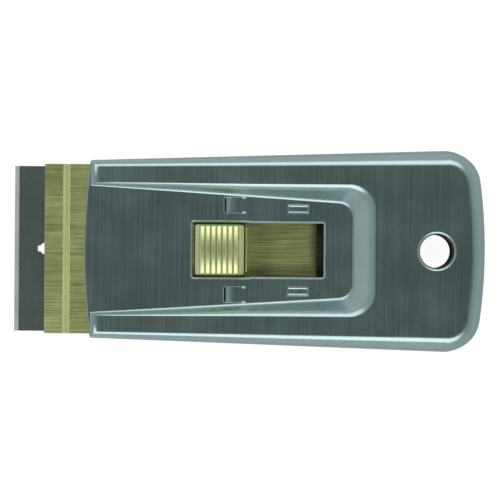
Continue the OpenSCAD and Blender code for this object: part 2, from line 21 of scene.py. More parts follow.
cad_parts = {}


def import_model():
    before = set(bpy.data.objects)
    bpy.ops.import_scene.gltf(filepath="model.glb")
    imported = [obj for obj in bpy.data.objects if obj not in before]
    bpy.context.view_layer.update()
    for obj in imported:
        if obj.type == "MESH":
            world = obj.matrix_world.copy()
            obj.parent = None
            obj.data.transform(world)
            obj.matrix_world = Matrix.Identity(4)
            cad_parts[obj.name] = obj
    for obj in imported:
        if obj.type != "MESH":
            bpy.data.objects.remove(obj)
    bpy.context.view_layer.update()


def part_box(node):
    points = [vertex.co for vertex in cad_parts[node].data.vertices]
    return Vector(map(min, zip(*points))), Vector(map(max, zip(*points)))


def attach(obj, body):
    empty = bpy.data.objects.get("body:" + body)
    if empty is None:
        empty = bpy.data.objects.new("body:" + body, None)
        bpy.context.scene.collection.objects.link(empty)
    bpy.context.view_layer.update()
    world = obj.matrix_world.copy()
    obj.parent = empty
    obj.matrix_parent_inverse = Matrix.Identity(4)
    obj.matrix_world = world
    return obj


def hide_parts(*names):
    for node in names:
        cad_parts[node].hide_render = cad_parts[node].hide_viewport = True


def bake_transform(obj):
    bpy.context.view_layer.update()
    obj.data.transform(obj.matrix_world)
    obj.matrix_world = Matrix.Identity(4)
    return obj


LOG = logging.getLogger("scraper")
# One millimetre in the frame's metres
MM = 0.001
# How far a cutting solid runs past what it cuts, in millimetres
OVERRUN = 2.0
# Degrees between the points of a small arc
ARC_STEP = 15
# Steps round a turned solid, round a small bore and in each corner of a small hole
ROUND_STEPS, BORE_STEPS, SMALL_CORNER_STEPS = 72, 48, 4
# Levels of a noise that become 0 and 1
NOISE_LOW, NOISE_HIGH = 0.3, 0.7

Colour = tuple[float, float, float]
Outline = list[tuple[float, float]]


class Joinery(Enum):
    """Ways in which one solid is worked by another."""

    CUT = "DIFFERENCE"
    JOIN = "UNION"
    KEEP = "INTERSECT"


class Grain(Enum):
    """Direction of the brushed lines on a sheet."""

    ALONG_HANDLE = "along"
    ACROSS_HANDLE = "across"


class Sketch:
    """Adds and links nodes in one node tree."""

    def __init__(self, tree: bpy.types.NodeTree) -> None:
        """Keeps the tree that the nodes go into."""
        self.tree = tree

    def add(self, kind: str, **settings: object) -> bpy.types.Node:
        """Adds one node.

        Args:
            kind: Blender's identifier of the node.
            **settings: Properties of the node and their values.

        Returns:
            The new node.
        """
        node = self.tree.nodes.new(kind)
        for name, value in settings.items():
            setattr(node, name, value)
        return node

    def feed(self, socket: bpy.types.NodeSocket, value: object) -> None:
        """Links a socket into another one, or sets it to a plain value.

        Args:
            socket: The input socket.
            value: An output socket, or the value to set.
        """
        if isinstance(value, bpy.types.NodeSocket):
            self.tree.links.new(value, socket)
        else:
            socket.default_value = value

    def fill(self, node: bpy.types.Node, values: dict[str, object]) -> bpy.types.Node:
        """Feeds several inputs of a node.

        Args:
            node: The node.
            values: Values or sockets by the names of the inputs.

        Returns:
            The same node.
        """
        for name, value in values.items():
            self.feed(node.inputs[name], value)
        return node

    def math(
        self, operation: str, first: object, second: object = 0.0, third: object = 0.0
    ) -> bpy.types.NodeSocket:
        """Adds a Math node.

        Args:
            operation: Name of the operation.
            first: First value or socket.
            second: Second value or socket.
            third: Third value or socket, for the operations that have one.

        Returns:
            The result's socket.
        """
        node = self.add("ShaderNodeMath", operation=operation)
        for socket, value in zip(node.inputs, (first, second, third)):
            self.feed(socket, value)
        return node.outputs[0]

    def axes(self, vector: bpy.types.NodeSocket) -> tuple[bpy.types.NodeSocket, ...]:
        """Splits a vector.

        Args:
            vector: The vector's socket.

        Returns:
            The sockets of its X, Y and Z.
        """
        node = self.add("ShaderNodeSeparateXYZ")
        self.feed(node.inputs[0], vector)
        return tuple(node.outputs)

    def noise(self, vector: bpy.types.NodeSocket, detail: float) -> bpy.types.NodeSocket:
        """Adds a noise with lumps of about one unit.

        Args:
            vector: Where it is read.
            detail: How fine it gets.

        Returns:
            The noise's socket.
        """
        node = self.add("ShaderNodeTexNoise")
        return self.fill(node, {"Vector": vector, "Scale": 1.0, "Detail": detail}).outputs["Fac"]

    def spread(self, value: object, low: object, high: object, curve: str = "LINEAR") -> bpy.types.NodeSocket:
        """Stretches a range of values to 0 to 1.

        Args:
            value: The value's socket.
            low: What becomes 0.
            high: What becomes 1.
            curve: Blender's name of the curve between the two.

        Returns:
            The stretched value's socket.
        """
        node = self.add("ShaderNodeMapRange", interpolation_type=curve)
        return self.fill(node, {"Value": value, "From Min": low, "From Max": high}).outputs[0]

    def mix(self, share: object, first: object, second: object) -> bpy.types.NodeSocket:
        """Mixes two colours.

        Args:
            share: Share of the second colour.
            first: A colour or its socket.
            second: A colour or its socket.

        Returns:
            The mixed colour's socket.
        """
        node = self.add("ShaderNodeMix", data_type="RGBA", clamp_factor=True)
        self.feed(node.inputs["Factor"], share)
        sockets = [socket for socket in node.inputs if socket.type == "RGBA"]
        for socket, colour in zip(sockets, (first, second)):
            self.feed(socket, colour if isinstance(colour, bpy.types.NodeSocket) else (*colour, 1.0))
        return next(socket for socket in node.outputs if socket.type == "RGBA")

    def group(self, name: str, values: dict[str, object]) -> bpy.types.Node:
        """Places a shader group and feeds its inputs."""
        return self.fill(self.add("ShaderNodeGroup", node_tree=bpy.data.node_groups[name]), values)


def blank_sketch(owner: bpy.types.Material | bpy.types.World) -> Sketch:
    """Empties the node tree of a material or a world.

    Args:
        owner: The material or the world.

    Returns:
        A sketch on the empty tree.
    """
    owner.use_nodes = True
    owner.node_tree.nodes.clear()
    return Sketch(owner.node_tree)


def shader_group(name: str, inputs: dict[str, float], outputs: list[str]) -> tuple[Sketch, dict, dict]:
    """Starts a shader group with a Vector input, float inputs and float outputs.

    Args:
        name: Name of the group.
        inputs: Names and defaults of its float inputs.
        outputs: Names of its float outputs.

    Returns:
        The group's sketch, its input sockets by name and its output sockets by name.
    """
    tree = bpy.data.node_groups.new(name, "ShaderNodeTree")
    tree.interface.new_socket(name="Vector", in_out="INPUT", socket_type="NodeSocketVector")
    for label, value in inputs.items():
        socket = tree.interface.new_socket(name=label, in_out="INPUT", socket_type="NodeSocketFloat")
        socket.default_value = value
    for label in outputs:
        tree.interface.new_socket(name=label, in_out="OUTPUT", socket_type="NodeSocketFloat")
    sketch = Sketch(tree)
    source = sketch.add("NodeGroupInput")
    sink = sketch.add("NodeGroupOutput")
    return sketch, {s.name: s for s in source.outputs}, {s.name: s for s in sink.inputs}


def brushed_lines_group() -> None:
    """Makes the group that draws brushed lines along its local Y.

    Its outputs are Lines, from 0 to 1 over broad and fine lines, and Scratch, a mask of single marks.
    """
    finer_and_shift = {"broad": (1.0, 3.1), "fine": (2.9, 7.7), "wide": (0.45, 12.3)}
    weights = {"broad": 0.45, "fine": 0.25, "wide": 0.3}
    detail, mark_level, patch_level = 2.0, 0.68, 0.5
    sketch, given, result = shader_group(
        "brushed_lines", {"Line Width": 0.3, "Line Length": 20.0, "Scratches": 0.5}, ["Lines", "Scratch"]
    )
    x, y, z = sketch.axes(given["Vector"])
    along = sketch.math("DIVIDE", y, given["Line Length"])
    shades = {}
    for layer, (finer, shift) in finer_and_shift.items():
        width = sketch.math("DIVIDE", given["Line Width"], finer)
        across_lines = sketch.math("ADD", sketch.math("DIVIDE", x, width), shift)
        spot = sketch.add("ShaderNodeCombineXYZ")
        sketch.fill(spot, {"X": across_lines, "Y": along, "Z": sketch.math("DIVIDE", z, width)})
        shades[layer] = sketch.noise(spot.outputs[0], detail)
    coarse = sketch.math("MULTIPLY", shades["wide"], weights["wide"])
    coarse = sketch.math("MULTIPLY_ADD", shades["broad"], weights["broad"], coarse)
    mixed = sketch.math("MULTIPLY_ADD", shades["fine"], weights["fine"], coarse)
    sketch.feed(result["Lines"], sketch.spread(mixed, NOISE_LOW, NOISE_HIGH))
    marks = sketch.math("GREATER_THAN", shades["fine"], mark_level)
    patches = sketch.math("GREATER_THAN", shades["wide"], patch_level)
    strong = sketch.math("MULTIPLY", marks, given["Scratches"])
    sketch.feed(result["Scratch"], sketch.math("MULTIPLY", strong, patches))


def plating_mottle_group() -> None:
    """Makes the group that mottles a plated sheet.

    Its outputs are Cloud, a slow change from 0 to 1, and Speck, a mask of small dull spots.
    """
    sizes = {"Cloud Size": 9.0, "Speck Size": 0.5}
    sketch, given, result = shader_group("plating_mottle", sizes, ["Cloud", "Speck"])
    for layer, detail, low, high in (("Cloud", 3.0, NOISE_LOW, NOISE_HIGH), ("Speck", 1.0, 0.66, 0.8)):
        scaled = sketch.add("ShaderNodeVectorMath", operation="SCALE")
        sketch.feed(scaled.inputs[0], given["Vector"])
        sketch.feed(scaled.inputs["Scale"], sketch.math("DIVIDE", 1.0, given[f"{layer} Size"]))
        sketch.feed(result[layer], sketch.spread(sketch.noise(scaled.outputs[0], detail), low, high))


def slot_painted_shade_group() -> None:
    """Makes the group that masks painted shade beside a button, along one edge of its slot and at its end.

    Its output, the painted shade, runs from 0 to 1 over the plain X and Y of its vector.
    """
    limits = ("Front", "Rear", "Beside", "Near", "Fade", "Near Share", "End")
    sketch, given, result = shader_group("slot_soil", dict.fromkeys(limits, 1.0), ["Soil"])
    x, y, _ = sketch.axes(given["Vector"])
    behind_front = sketch.math("GREATER_THAN", x, given["Front"])
    inside = sketch.math("MULTIPLY", behind_front, sketch.math("LESS_THAN", x, given["Rear"]))
    outer = sketch.math("GREATER_THAN", sketch.math("ABSOLUTE", y), given["Beside"])
    beside = sketch.math("MULTIPLY", inside, outer)
    fades = []
    for value, limit in ((sketch.math("MULTIPLY", y, -1.0), given["Near"]), (x, given["End"])):
        start = sketch.math("SUBTRACT", limit, given["Fade"])
        fades.append(sketch.spread(value, start, limit, "SMOOTHSTEP"))
    faint = sketch.math("MULTIPLY", fades[0], given["Near Share"])
    edges = sketch.math("MAXIMUM", faint, fades[1])
    sketch.feed(result["Soil"], sketch.math("MAXIMUM", beside, edges))


@dataclass(frozen=True)
class SlotPaintedShade:
    """Where shade is painted on the tongue, in millimetres: beside the button, along one edge and at its end.
    """

    front: float = -13.4
    rear: float = -1.2
    beside: float = 5.8
    near: float = 5.0
    fade: float = 2.4
    near_share: float = 0.65
    end: float = 15.6
    depth: float = 0.85
    # Near-black colour of the painted shade, mixed in at most by depth
    colour: Colour = (0.05, 0.055, 0.02)

    def over(
        self, sketch: Sketch, spot: bpy.types.NodeSocket, unshaded: bpy.types.NodeSocket
    ) -> bpy.types.NodeSocket:
        """Lays the painted shade over the unshaded colour.

        Args:
            sketch: The material's sketch.
            spot: Object coordinates in millimetres.
            unshaded: The colour without the painted shade.

        Returns:
            The soiled colour's socket.
        """
        limits = {"Vector": spot, "Front": self.front, "Rear": self.rear, "Beside": self.beside}
        limits |= {"Near": self.near, "Fade": self.fade, "Near Share": self.near_share, "End": self.end}
        painted_shade = sketch.group("slot_soil", limits).outputs["Soil"]
        return sketch.mix(sketch.math("MULTIPLY", painted_shade, self.depth), unshaded, self.colour)


@dataclass(frozen=True)
class MetalFinish:
    """One metal surface: its colour, its brushing, how it has aged and any painted shade.

    Widths and lengths of lines are in millimetres. Swings are how far the pattern moves a value to each side.
    """

    name: str
    slot: str
    light: Colour
    dark: Colour
    roughness: float
    grain: Grain = Grain.ACROSS_HANDLE
    line_width: float = 0.3
    line_length: float = 20.0
    line_swing: float = 0.3
    rough_swing: float = 0.08
    cloud_swing: float = 0.15
    speck: float = 0.1
    scratch: float = 0.3
    line_height: float = 0.002
    bump: float = 0.3
    # Painted shade laid over the colour where the surface lies in shadow
    painted_shade: SlotPaintedShade | None = None

    def material(self) -> bpy.types.Material:
        """Builds this finish's material once.

        Returns:
            The material, made on the first call.
        """
        label = self.name + "_finish"
        found = bpy.data.materials.get(label)
        if found:
            return found
        made = bpy.data.materials.new(label)
        sketch = blank_sketch(made)
        scaled = sketch.add("ShaderNodeVectorMath", operation="SCALE")
        sketch.feed(scaled.inputs[0], sketch.add("ShaderNodeTexCoord").outputs["Object"])
        scaled.inputs["Scale"].default_value = 1 / MM
        turned = sketch.add("ShaderNodeMapping")
        turn = math.pi / 2 if self.grain is Grain.ALONG_HANDLE else 0.0
        sketch.fill(turned, {"Vector": scaled.outputs[0], "Rotation": (0.0, 0.0, turn)})
        spot = {"Vector": turned.outputs[0]}
        sizes = {"Line Width": self.line_width, "Line Length": self.line_length, "Scratches": self.scratch}
        lines = sketch.group("brushed_lines", spot | sizes).outputs
        mottle = sketch.group("plating_mottle", spot).outputs
        tone = self.tone(sketch, lines["Lines"], mottle["Cloud"], lines["Scratch"])
        # Painted shade over the colour
        if self.painted_shade:
            tone = self.painted_shade.over(sketch, scaled.outputs[0], tone)
        bump = sketch.add("ShaderNodeBump")
        heights = {"Strength": self.bump, "Distance": self.line_height * MM, "Height": lines["Lines"]}
        shader = sketch.add("ShaderNodeBsdfPrincipled")
        looks = {
            "Metallic": 1.0,
            "Base Color": tone,
            "Roughness": self.dullness(sketch, lines["Lines"], mottle["Cloud"], mottle["Speck"]),
            "Normal": sketch.fill(bump, heights).outputs["Normal"],
        }
        output = sketch.add("ShaderNodeOutputMaterial")
        sketch.feed(output.inputs["Surface"], sketch.fill(shader, looks).outputs[0])
        return made

    def tone(
        self,
        sketch: Sketch,
        pattern: bpy.types.NodeSocket,
        cloud: bpy.types.NodeSocket,
        scratch: bpy.types.NodeSocket,
    ) -> bpy.types.NodeSocket:
        """Mixes the dark and light colours by the brushed lines and the mottling.

        Args:
            sketch: The material's sketch.
            pattern: Brushed lines, from 0 to 1.
            cloud: Slow mottling, from 0 to 1.
            scratch: Mask of single bright marks.

        Returns:
            The colour's socket.
        """
        lined = sketch.math("SUBTRACT", pattern, 0.5)
        moved = sketch.math("MULTIPLY_ADD", lined, 2 * self.line_swing, 0.5)
        clouded = sketch.math("SUBTRACT", cloud, 0.5)
        share = sketch.math("MULTIPLY_ADD", clouded, 2 * self.cloud_swing, moved)
        return sketch.mix(sketch.math("ADD", share, scratch), self.dark, self.light)

    def dullness(
        self,
        sketch: Sketch,
        pattern: bpy.types.NodeSocket,
        cloud: bpy.types.NodeSocket,
        speck: bpy.types.NodeSocket,
    ) -> bpy.types.NodeSocket:
        """Varies the roughness with the lines, the mottling and the dull specks.

        Args:
            sketch: The material's sketch.
            pattern: Brushed lines, from 0 to 1.
            cloud: Slow mottling, from 0 to 1.
            speck: Mask of small dull spots.

        Returns:
            The roughness socket.
        """
        start = self.roughness - self.rough_swing
        moved = sketch.math("MULTIPLY_ADD", pattern, self.rough_swing, start)
        clouded = sketch.math("MULTIPLY_ADD", cloud, self.rough_swing, moved)
        return sketch.math("MULTIPLY_ADD", speck, self.speck, clouded)


SATIN_STEEL = MetalFinish(
    "satin_steel",
    "satin_steel",
    (0.46, 0.65, 0.64),
    (0.31, 0.45, 0.45),
    0.21,
    line_width=0.26,
    line_length=24.0,
    line_swing=0.42,
    rough_swing=0.04,
    speck=0.0,
    scratch=0.0,
)
DRAWN_STEEL = MetalFinish(
    "drawn_steel",
    "satin_steel",
    (0.45, 0.61, 0.61),
    (0.39, 0.53, 0.53),
    0.25,
    line_width=1.0,
    line_length=9.0,
    rough_swing=0.03,
    speck=0.0,
    scratch=0.0,
    bump=0.1,
)
BASE_STEEL = MetalFinish(
    "base_steel",
    "satin_steel",
    (0.46, 0.56, 0.56),
    (0.33, 0.42, 0.43),
    0.24,
    Grain.ALONG_HANDLE,
    line_width=0.4,
    line_swing=0.45,
    scratch=0.15,
)
# Near-black steel: painted shade on the hang hole's inner wall and on the base plate's upper face, which lie
# in the handle's shadow
PAINTED_SHADE_STEEL = MetalFinish(
    "inside_steel",
    "satin_steel",
    (0.08, 0.09, 0.07),
    (0.03, 0.035, 0.025),
    0.5,
    line_width=1.5,
    cloud_swing=0.4,
)
BRASS_SHEET = MetalFinish(
    "brass_sheet",
    "brass_plate",
    (0.86, 0.95, 0.43),
    (0.47, 0.55, 0.20),
    0.34,
    Grain.ALONG_HANDLE,
    line_width=0.24,
    line_length=12.0,
    line_swing=0.8,
    line_height=0.004,
    scratch=0.0,
    bump=0.5,
)
# Same brass as the jaw's sheet but darker: painted shade for the tongue sunk below the window, with more
# painted shade beside the button and along its edges
BRASS_TONGUE_SHADED = MetalFinish(
    "brass_tongue",
    "brass_plate",
    (0.54, 0.60, 0.26),
    (0.26, 0.30, 0.11),
    0.34,
    Grain.ALONG_HANDLE,
    line_width=0.19,
    line_length=13.0,
    line_swing=1.3,
    line_height=0.004,
    scratch=0.0,
    bump=0.5,
    painted_shade=SlotPaintedShade(),
)
BRASS_BEAD = MetalFinish(
    "brass_bead",
    "brass_plate",
    (0.86, 0.95, 0.46),
    (0.74, 0.82, 0.38),
    0.52,
    line_swing=0.15,
    scratch=0.0,
)
BRASS_RIVET = MetalFinish(
    "brass_rivet", "brass_rivet", (0.86, 0.90, 0.46), (0.62, 0.66, 0.3), 0.34, speck=0.25
)
BRASS_BUTTON = MetalFinish(
    "brass_button",
    "brass_button",
    (0.88, 0.95, 0.53),
    (0.72, 0.79, 0.39),
    0.35,
    line_length=6.0,
    line_swing=0.4,
    cloud_swing=0.2,
    scratch=0.0,
)
# Darker, a little rougher brass: painted shade in the grooves between the ribs
BRASS_GROOVE_SHADE = MetalFinish(
    "brass_groove", "brass_button", (0.62, 0.68, 0.30), (0.46, 0.52, 0.21), 0.4, cloud_swing=0.2, scratch=0.0
)
# Near-black brass: painted shade on the button's flange, seen through the shaded gap round the button
BRASS_PAINTED_SHADE = MetalFinish(
    "brass_soiled", "brass_button", (0.14, 0.15, 0.06), (0.05, 0.055, 0.02), 0.5, cloud_swing=0.4, scratch=0.0
)
SPRING_STEEL = MetalFinish("spring_steel", "spring_steel", (0.30, 0.34, 0.37), (0.2, 0.22, 0.26), 0.3)
BLADE_FACE = MetalFinish(
    "blade_face",
    "blade_steel",
    (0.42, 0.56, 0.48),
    (0.35, 0.46, 0.40),
    0.20,
    line_width=0.5,
    line_swing=0.25,
    rough_swing=0.03,
    scratch=0.0,
)
BLADE_BEVEL = MetalFinish(
    "blade_bevel",
    "blade_steel",
    (0.84, 0.92, 0.83),
    (0.66, 0.74, 0.66),
    0.44,
    Grain.ALONG_HANDLE,
    line_width=0.15,
    line_length=2.0,
    scratch=0.0,
)
SPINE_STEEL = MetalFinish("spine_steel", "spine_steel", (0.5, 0.56, 0.55), (0.38, 0.43, 0.42), 0.26)


def solid(name: str, points: np.ndarray | list, faces: list) -> bpy.types.Object:
    """Makes a mesh object in millimetres.

    Args:
        name: Name of the object.
        points: Corner points.
        faces: Corner numbers of each face.

    Returns:
        The object, in the scene.
    """
    mesh = bpy.data.meshes.new(name)
    mesh.from_pydata([tuple(float(c) for c in p) for p in points], [], faces)
    made = bpy.data.objects.new(name, mesh)
    bpy.context.scene.collection.objects.link(made)
    return made


def loft(name: str, rings: list[np.ndarray]) -> bpy.types.Object:
    """Makes a closed solid through rings of equal count.

    Args:
        name: Name of the object.
        rings: Rings of points, the lowest first, each counter-clockwise from above.

    Returns:
        The solid.
    """
    size = len(rings[0])
    last = (len(rings) - 1) * size
    faces = [tuple(range(size - 1, -1, -1))]
    for start in range(0, last, size):
        for i in range(size):
            j = (i + 1) % size
            faces.append((start + i, start + j, start + size + j, start + size + i))
    faces.append(tuple(range(last, last + size)))
    return solid(name, np.concatenate(rings), faces)


def level_ring(flat: np.ndarray, height: float) -> np.ndarray:
    """Lifts an outline in X and Y to a height."""
    return np.column_stack([flat, np.full(len(flat), height)])


def prism(name: str, outline: Outline | np.ndarray, low: float, high: float) -> bpy.types.Object:
    """Extrudes an outline drawn in X and Y, counter-clockwise, from one height to another.

    Args:
        name: Name of the object.
        outline: Corners of the outline.
        low: Height of its foot.
        high: Height of its top.

    Returns:
        The solid.
    """
    flat = np.array(outline)
    return loft(name, [level_ring(flat, z) for z in (low, high)])


def across(name: str, profile: Outline, width: float, middle: float = 0.0) -> bpy.types.Object:
    """Extrudes a profile drawn in X and Z, counter-clockwise from the -Y side, across Y.

    Args:
        name: Name of the object.
        profile: Corners of the profile.
        width: Width of the solid.
        middle: Y of its middle plane.

    Returns:
        The solid.
    """
    flat = np.array(profile)
    rings = []
    for y in (middle + width / 2, middle - width / 2):
        rings.append(np.column_stack([flat[:, 0], np.full(len(flat), y), flat[:, 1]]))
    return loft(name, rings)


def lathe(name: str, profile: Outline, steps: int = ROUND_STEPS) -> bpy.types.Object:
    """Revolves a profile about Z.

    Args:
        name: Name of the object.
        profile: Radius and height of each corner, from the foot upwards, closed at both ends by flat caps.
        steps: Number of steps round the axis.

    Returns:
        The solid.
    """
    angles = np.linspace(0, 2 * math.pi, steps, endpoint=False)
    circle = np.column_stack([np.cos(angles), np.sin(angles)])
    return loft(name, [level_ring(radius * circle, height) for radius, height in profile])


def rounded_rectangle(length: float, width: float, radius: float, steps: int = 8) -> Outline:
    """Draws a rounded rectangle round the origin.

    Args:
        length: Size along X.
        width: Size along Y.
        radius: Corner radius.
        steps: Steps in each corner.

    Returns:
        The outline, counter-clockwise.
    """
    points = []
    half_l, half_w = length / 2 - radius, width / 2 - radius
    for corner, (sx, sy) in enumerate(((1, 1), (-1, 1), (-1, -1), (1, -1))):
        for i in range(steps + 1):
            a = math.pi / 2 * (corner + i / steps)
            points.append((sx * half_l + radius * math.cos(a), sy * half_w + radius * math.sin(a)))
    return points


def bake(piece: bpy.types.Object) -> None:
    """Turns an object's modifiers into its mesh.

    Args:
        piece: The object.
    """
    bpy.context.view_layer.update()
    graph = bpy.context.evaluated_depsgraph_get()
    mesh = bpy.data.meshes.new_from_object(piece.evaluated_get(graph))
    piece.modifiers.clear()
    old = piece.data
    piece.data = mesh
    bpy.data.meshes.remove(old)


def work(piece: bpy.types.Object, tool: bpy.types.Object, how: Joinery) -> None:
    """Cuts, joins or trims a solid by another one, which is used up.

    Args:
        piece: The solid that is worked.
        tool: The other solid.
        how: Which of the three is done.
    """
    modifier = piece.modifiers.new(how.value, "BOOLEAN")
    modifier.operation = how.value
    modifier.solver = "EXACT"
    modifier.object = tool
    bake(piece)
    mesh = tool.data
    bpy.data.objects.remove(tool)
    bpy.data.meshes.remove(mesh)


def place(piece: bpy.types.Object, x: float, y: float, z: float, tilt: float = 0.0) -> bpy.types.Object:
    """Moves a mesh, after a turn about Y.

    Args:
        piece: The object whose mesh moves.
        x: Move along X.
        y: Move along Y.
        z: Move along Z.
        tilt: Turn about Y in radians.

    Returns:
        The same object.
    """
    piece.data.transform(Matrix.Translation((x, y, z)) @ Matrix.Rotation(tilt, 4, "Y"))
    return piece


def drill(
    radius: float, spot: tuple[float, float], low: float, high: float, steps: int = BORE_STEPS
) -> bpy.types.Object:
    """Makes the solid that bores a round hole along Z.

    Args:
        radius: Radius of the hole.
        spot: X and Y of its axis.
        low: Height of the solid's foot.
        high: Height of its top.
        steps: Number of steps round the axis.

    Returns:
        The solid.
    """
    return place(lathe("drill", [(radius, low), (radius, high)], steps), *spot, 0.0)


def soften(piece: bpy.types.Object, width: float, steps: int = 2, angle: float = 40.0) -> None:
    """Rounds the sharp edges of a solid.

    Args:
        piece: The solid.
        width: Width of the rounding.
        steps: Segments of the rounding.
        angle: Least angle of an edge that is rounded, in degrees.
    """
    modifier = piece.modifiers.new("soft_edges", "BEVEL")
    modifier.width = width
    modifier.segments = steps
    modifier.limit_method = "ANGLE"
    modifier.angle_limit = math.radians(angle)
    modifier.use_clamp_overlap = False
    bake(piece)


def weld(piece: bpy.types.Object, gap: float = 0.002) -> None:
    """Joins corners that lie together and drops the faces of no area that cuts leave behind.

    Args:
        piece: The object.
        gap: Corners closer than this are joined.
    """
    shape = bmesh.new()
    shape.from_mesh(piece.data)
    bmesh.ops.remove_doubles(shape, verts=shape.verts, dist=gap)
    bmesh.ops.dissolve_degenerate(shape, edges=shape.edges, dist=gap)
    stray = [face for face in shape.faces if all(edge.is_boundary for edge in face.edges)]
    bmesh.ops.delete(shape, geom=stray, context="FACES")
    shape.to_mesh(piece.data)
    shape.free()


def shade(piece: bpy.types.Object, angle: float = 32.0) -> None:
    """Smooths a mesh between its sharp edges, with normals weighted by area so that flat faces look flat.

    Args:
        piece: The object.
        angle: Faces that meet at more than this many degrees stay apart.
    """
    mesh = piece.data
    mesh.polygons.foreach_set("use_smooth", [True] * len(mesh.polygons))
    limit = math.cos(math.radians(angle))
    normals = [face.normal.copy() for face in mesh.polygons]
    fans: list[list[int]] = [[] for _ in mesh.vertices]
    for face in mesh.polygons:
        for corner in face.vertices:
            fans[corner].append(face.index)
    blended = []
    for face in mesh.polygons:
        own = normals[face.index]
        for corner in face.vertices:
            near = [n for n in fans[corner] if normals[n].dot(own) >= limit]
            blended.append(sum((normals[n] * mesh.polygons[n].area for n in near), Vector()).normalized())
    mesh.normals_split_custom_set(blended)


def node_copy(node: str, gap: float = 0.001, flat_angle: float = 0.5) -> bpy.types.Object:
    """Copies a node's mesh, in millimetres, as one welded solid with flat faces joined.

    Args:
        node: Name of the node.
        gap: Corners closer than this are joined.
        flat_angle: Faces that meet at less than this many degrees are joined.

    Returns:
        The copy.
    """
    mesh = bpy.data.objects[node].data.copy()
    mesh.materials.clear()
    made = bpy.data.objects.new(node + "_copy", mesh)
    bpy.context.scene.collection.objects.link(made)
    mesh.transform(Matrix.Scale(1 / MM, 4))
    shape = bmesh.new()
    shape.from_mesh(mesh)
    bmesh.ops.remove_doubles(shape, verts=shape.verts, dist=gap)
    limit = math.radians(flat_angle)
    bmesh.ops.dissolve_limit(shape, angle_limit=limit, verts=shape.verts, edges=shape.edges)
    shape.to_mesh(mesh)
    shape.free()
    return made


def add_finishes(piece: bpy.types.Object, *finishes: MetalFinish) -> dict[MetalFinish, int]:
    """Adds the materials of some finishes to a piece.

    Args:
        piece: The object.
        *finishes: The finishes, in order.

    Returns:
        The number of each finish among the piece's materials.
    """
    numbers = {}
    for finish in finishes:
        numbers[finish] = len(piece.data.materials)
        piece.data.materials.append(finish.material())
    return numbers


def to_metres(piece: bpy.types.Object, name: str, finish: MetalFinish) -> None:
    """Turns a piece into metres, names it and sees that it has a material.

    Args:
        piece: The finished object, in millimetres.
        name: Its final name.
        finish: Its finish, if it has none yet.
    """
    piece.data.transform(Matrix.Scale(MM, 4))
    piece.data.update()
    piece.name = name
    piece.data.name = name
    if not piece.data.materials:
        add_finishes(piece, finish)


def hand_over(piece: bpy.types.Object, name: str, body: str, finish: MetalFinish, node: str) -> None:
    """Finishes a piece: metres, name and body, and hides the node that it stands for.

    Args:
        piece: The finished object, in millimetres.
        name: Its final name.
        body: The body that it rides on.
        finish: Its main finish.
        node: The node that it replaces.
    """
    to_metres(piece, name, finish)
    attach(piece, body)
    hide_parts(node)
    LOG.info("%s: %d faces on %s", name, len(piece.data.polygons), body)


